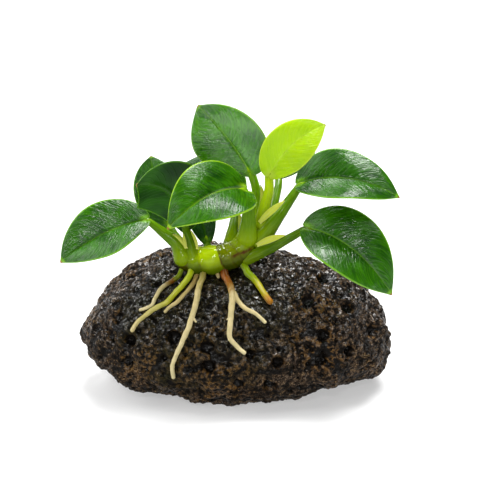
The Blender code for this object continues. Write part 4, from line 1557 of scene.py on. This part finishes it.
@dataclass
class Plant:
    """The whole plant on its stone."""

    form: StoneForm = field(default_factory=StoneForm)
    beds: list[tuple[Vector, float]] = field(default_factory=list)

    RINGS = ((0.2, 0.5), (0.475, 1.2), (0.6, 0.5), (0.7, 0.4), (0.88, 0.4))
    RING_WIDTH = 0.006
    RING_TILT = 0.035
    CREASE = (Vector((-1.4, -22.5, 53.2)), Vector((5.2, -21.0, 55.4)))
    ROOT_SEAT = 0.78
    SOLID_CLEARANCE = 0.6

    def ring(self, along: float, out: Vector) -> float:
        """Give how strongly the rhizome is scarred at a place."""
        sway = self.RING_TILT * out.z + 0.012 * noise.noise(out * 1.4)
        scars = [
            strength * math.exp(-(((along - place + sway) / self.RING_WIDTH) ** 2))
            for place, strength in self.RINGS
        ]
        return min(1.0, sum(scars))

    def crease(self, spot: Vector) -> float:
        """Give how deep a place lies in the brown crease under the front stalk."""
        start, stop = self.CREASE
        near, share = intersect_point_line(spot, start, stop)
        near = start.lerp(stop, min(1.0, max(0.0, share)))
        return 1.6 * math.exp(-(((spot - near).length / 0.5) ** 2))

    def build_rhizome(self) -> None:
        """Make the creeping stem with its ring scars."""
        radii = [row[3] for row in RHIZOME]
        points = [Vector(row[:3]) for row in RHIZOME]
        rough = thread(points, 12)
        lengths = [0.0]
        for before, after in zip(rough, rough[1:]):
            lengths.append(lengths[-1] + (after - before).length)
        knots = [lengths[12 * index] / lengths[-1] for index in range(len(points))]

        def radius(along: float) -> float:
            index = max(number for number, knot in enumerate(knots[:-1]) if knot <= along)
            share = (along - knots[index]) / (knots[index + 1] - knots[index])
            share = share * share * (3.0 - 2.0 * share)
            return radii[index] + (radii[index + 1] - radii[index]) * share

        def relief(along: float, out: Vector, length: float) -> float:
            lump = noise.noise(Vector((length / 4.0, 0.0, 0.0)) + out * 1.2)
            return 0.5 * lump - 0.35 * self.ring(along, out) + 0.12 * self.ring(along - 0.02, out)

        def scar(along: float, out: Vector, spot: Vector) -> float:
            broken = 0.6 + 0.9 * noise.noise(spot / 1.6)
            marks = self.ring(along, out) * broken + self.crease(spot) * (0.8 + noise.noise(spot / 1.1))
            return min(1.0, max(0.0, marks))

        finish = StemFinish(
            name="rhizome skin",
            stops=RHIZOME_STOPS,
            fleck=(0.4, 0.5, 0.02),
            flecks=0.3,
            roughness=0.16,
            scar=(0.07, 0.02, 0.003),
            wetness=0.9,
            # painted shade: the rhizome's downward-facing side is painted almost wholly darker
            shade=0.95,
            drift=0.004,
            tilt=self.RING_TILT,
        )
        model = TubeModel("rhizome_stem", points, radius, finish, 1.0, 48, 0.3, scar, relief)
        self.beds += [(point, radius(index / 60.0)) for index, point in enumerate(respace(rough, 60))]
        adopt(model.build(), Slot.RHIZOME, "rhizome")

    def build_leaves(self) -> None:
        """Make the leaf blades."""
        for number, (name, (blade, finish)) in enumerate(LEAVES.items()):
            leaf = LeafModel(name + "_leaf", blade, finish, float(number))
            slot = Slot.YOUNG_LEAF if finish is YOUNG else Slot.LEAF
            adopt(leaf.build(), slot, "leaf_" + name)

    def build_stalks(self) -> None:
        """Make the stalks, each running on under its blade's midrib."""
        for number, (name, stalk) in enumerate(STALKS.items()):
            blade, _ = LEAVES[name]
            start, stop = stalk.radii
            points = [Vector(point) for point in stalk.points]
            for along, drop in ((0.0, 0.7), (0.06, 0.55), (0.16, 0.35)):
                centre, ahead, _, face = blade.axes(along)
                points.append(centre - face * stop * drop)
            share = 0.86

            def radius(
                along: float, start: float = start, stop: float = stop, swell: float = stalk.flare
            ) -> float:
                if along < share:
                    flare = swell * math.exp(-((along / 0.2) ** 2))
                    return start + (stop - start) * (along / share) ** 0.7 + flare
                return stop * (1.0 - 0.72 * ((along - share) / (1.0 - share)))

            def relief(along: float, out: Vector, length: float) -> float:
                return 0.1 * noise.noise(Vector((length / 2.4, 0.0, 0.0)) + out)

            young = name == "young"
            tone = STALK_TONES.get(name, 1.0)
            stops = tuple(
                (place, tuple(part * tone for part in colour))
                for place, colour in (YOUNG_STOPS if young else STALK_STOPS)
            )
            finish = StemFinish(name + " stalk skin", stops, (0.3, 0.45, 0.05), 0.3, 0.22)
            model = TubeModel(name + "_stalk", points, radius, finish, 3.0 + number, relief=relief)
            adopt(model.build(), Slot.YOUNG_STALK if young else Slot.STALK, "stalk_" + name)

    def build_sheaths(self) -> None:
        """Make the thin pale sheaths at the stalks' feet."""
        for number, (name, (base, belly, tip, half_width)) in enumerate(SHEATHS.items()):
            blade = Blade(base, belly, tip, SHEATH_FACING, half_width, (-20.0, -20.0), curl=-14.0)
            finish = HUSK if name.endswith("right") else GREEN_HUSK
            model = LeafModel(name + "_sheath", blade, finish, 20.0 + number, 30, 14, 0.45, 0.2, 0.1)
            adopt(model.build(), Slot.SHEATH, "sheath_" + name)

    def build_roots(self) -> None:
        """Make the roots, which lie snug on the stone."""
        for number, (name, root) in enumerate(ROOTS.items()):
            start, stop = root.radii
            seat = start * self.ROOT_SEAT
            press = start + self.SOLID_CLEARANCE - seat
            points = [Vector(point) for point in root.start]
            points += [self.form.on_top(x, y, seat) for x, y in root.top]
            points += [self.form.on_front(x, height, seat + press, press) for x, height in root.front]

            def radius(along: float, start: float = start, stop: float = stop) -> float:
                return start + (stop - start) * along

            def relief(along: float, out: Vector, length: float, seed: float = number * 7.0) -> float:
                return 0.22 * noise.noise(Vector((length / 2.2 + seed, 0.0, 0.0)) + out * 0.6)

            finish = StemFinish(
                name + " root skin", ROOT_STOPS[name], (0.82, 0.74, 0.5), 0.25, 0.3, wetness=0.25
            )
            model = TubeModel(
                name + "_root", points, radius, finish, 30.0 + number, 16, 0.45, relief=relief, nubs=root.nubs
            )
            path = model.path()
            laid = len(root.start) and 0.12
            self.beds += [
                (point, radius(index / (len(path) - 1)))
                for index, point in enumerate(path)
                if index >= laid * len(path)
            ]
            adopt(model.build(), Slot.ROOT, "root_" + name)

    def build(self) -> None:
        """Make every piece, the stone last because the roots bed into it."""
        self.build_rhizome()
        self.build_leaves()
        self.build_stalks()
        self.build_sheaths()
        self.build_roots()
        adopt(StoneModel(self.form, self.beds).build(), Slot.STONE, "stone")


@dataclass(frozen=True)
class Glow:
    """A bright patch of the room: its bearing from the front, height and half width in
    degrees, and its strength."""

    bearing: float
    height: float
    width: float
    strength: float

    def direction(self) -> Vector:
        """Give the unit vector towards the patch."""
        turn, rise = math.radians(self.bearing), math.radians(self.height)
        level = math.cos(rise)
        return Vector((level * math.sin(turn), -level * math.cos(turn), math.sin(rise)))


@dataclass(frozen=True)
class Studio:
    """A white floor, soft light and the camera."""

    aim: Vector = Vector((1.2, 0.0, 53.0)) * MM
    distance: float = 0.4733
    lens: float = 100.0
    elevation: float = 15.0
    glows: tuple[Glow, ...] = (
        Glow(140.0, 77.0, 13.0, 23.0),
        Glow(-165.0, 45.0, 10.0, 8.0),
        Glow(-6.0, 33.0, 3.5, 42.0),
        Glow(48.0, 68.0, 11.0, 4.0),
        Glow(-95.0, 47.0, 21.0, 3.4),
        Glow(-74.0, 28.0, 7.0, 9.0),
        Glow(80.0, 9.0, 8.0, 6.0),
        Glow(-14.0, 8.0, 13.0, 1.5),
    )

    FLOOR_SIZE = 8.0
    DIM = 0.08
    FLOOR_GLOW = 0.43
    FLOOR_SHADE = 0.6

    def build_floor(self) -> None:
        """Lay the pale floor."""
        graph = Graph("pale floor")
        mottle = graph.noise(graph.put("TexCoord", out="Object"), 3.0, 2.0)
        shade = self.FLOOR_SHADE
        grey = graph.blend(graph.slope(mottle, 0.3, 0.7), (shade,) * 3, (shade * 1.02,) * 3)
        sockets = {"Base Color": grey, "Roughness": 0.85, "Specular IOR Level": 0.0}
        sockets |= {"Emission Color": (1.0, 1.0, 1.0), "Emission Strength": self.FLOOR_GLOW}
        material = graph.finish(sockets)
        mesh = start_mesh()
        bmesh.ops.create_grid(mesh, x_segments=2, y_segments=2, size=self.FLOOR_SIZE)
        floor = settle("floor", mesh, (material,))

    def build_sky(self) -> None:
        """Light the room with broad soft patches; the camera sees plain white."""
        world = bpy.data.worlds.new("studio")
        world.use_nodes = True
        bpy.context.scene.world = world
        nodes, links = world.node_tree.nodes, world.node_tree.links
        nodes.clear()
        toward = nodes.new("ShaderNodeTexCoord").outputs["Generated"]
        room = nodes.new("ShaderNodeBackground")
        total: NodeSocket | None = None
        for glow in self.glows:
            dot = nodes.new("ShaderNodeVectorMath")
            dot.operation = "DOT_PRODUCT"
            dot.inputs[1].default_value = glow.direction()
            links.new(toward, dot.inputs[0])
            patch = nodes.new("ShaderNodeMapRange")
            patch.interpolation_type = "SMOOTHSTEP"
            patch.inputs["From Min"].default_value = math.cos(math.radians(glow.width * 1.25))
            patch.inputs["From Max"].default_value = math.cos(math.radians(glow.width * 0.75))
            patch.inputs["To Max"].default_value = glow.strength
            links.new(dot.outputs["Value"], patch.inputs["Value"])
            add = nodes.new("ShaderNodeMath")
            links.new(patch.outputs[0], add.inputs[0])
            add.inputs[1].default_value = self.DIM
            if total:
                links.new(total, add.inputs[1])
            total = add.outputs[0]
        links.new(total, room.inputs["Strength"])
        seen = nodes.new("ShaderNodeBackground")
        for background in (room, seen):
            background.inputs["Color"].default_value = (1.0, 1.0, 1.0, 1.0)
        choose = nodes.new("ShaderNodeMixShader")
        links.new(nodes.new("ShaderNodeLightPath").outputs["Is Camera Ray"], choose.inputs[0])
        links.new(room.outputs[0], choose.inputs[1])
        links.new(seen.outputs[0], choose.inputs[2])
        links.new(choose.outputs[0], nodes.new("ShaderNodeOutputWorld").inputs["Surface"])

    def build_camera(self) -> None:
        """Set the camera at the photograph's angle."""
        lens = bpy.data.cameras.new("camera")
        lens.lens = self.lens
        lens.sensor_width = 36.0
        camera = bpy.data.objects.new("camera", lens)
        tilt = math.radians(self.elevation)
        camera.location = self.aim + Vector((0.0, -math.cos(tilt), math.sin(tilt))) * self.distance
        camera.rotation_euler = (math.pi / 2.0 - tilt, 0.0, 0.0)
        bpy.context.scene.collection.objects.link(camera)
        bpy.context.scene.camera = camera

    def build(self) -> None:
        """Make the floor, the light and the camera."""
        bpy.context.scene.view_settings.view_transform = "Standard"
        self.build_floor()
        self.build_sky()
        self.build_camera()


def main() -> None:
    """Dress the plant and light it."""
    logging.basicConfig(level=logging.INFO, format="%(message)s")
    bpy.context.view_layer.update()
    noise.seed_set(NOISE_SEED)
    Plant().build()
    Studio().build()
    LOG.info("dressed %d solids", len(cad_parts))


if __name__ == "__main__":
    main()
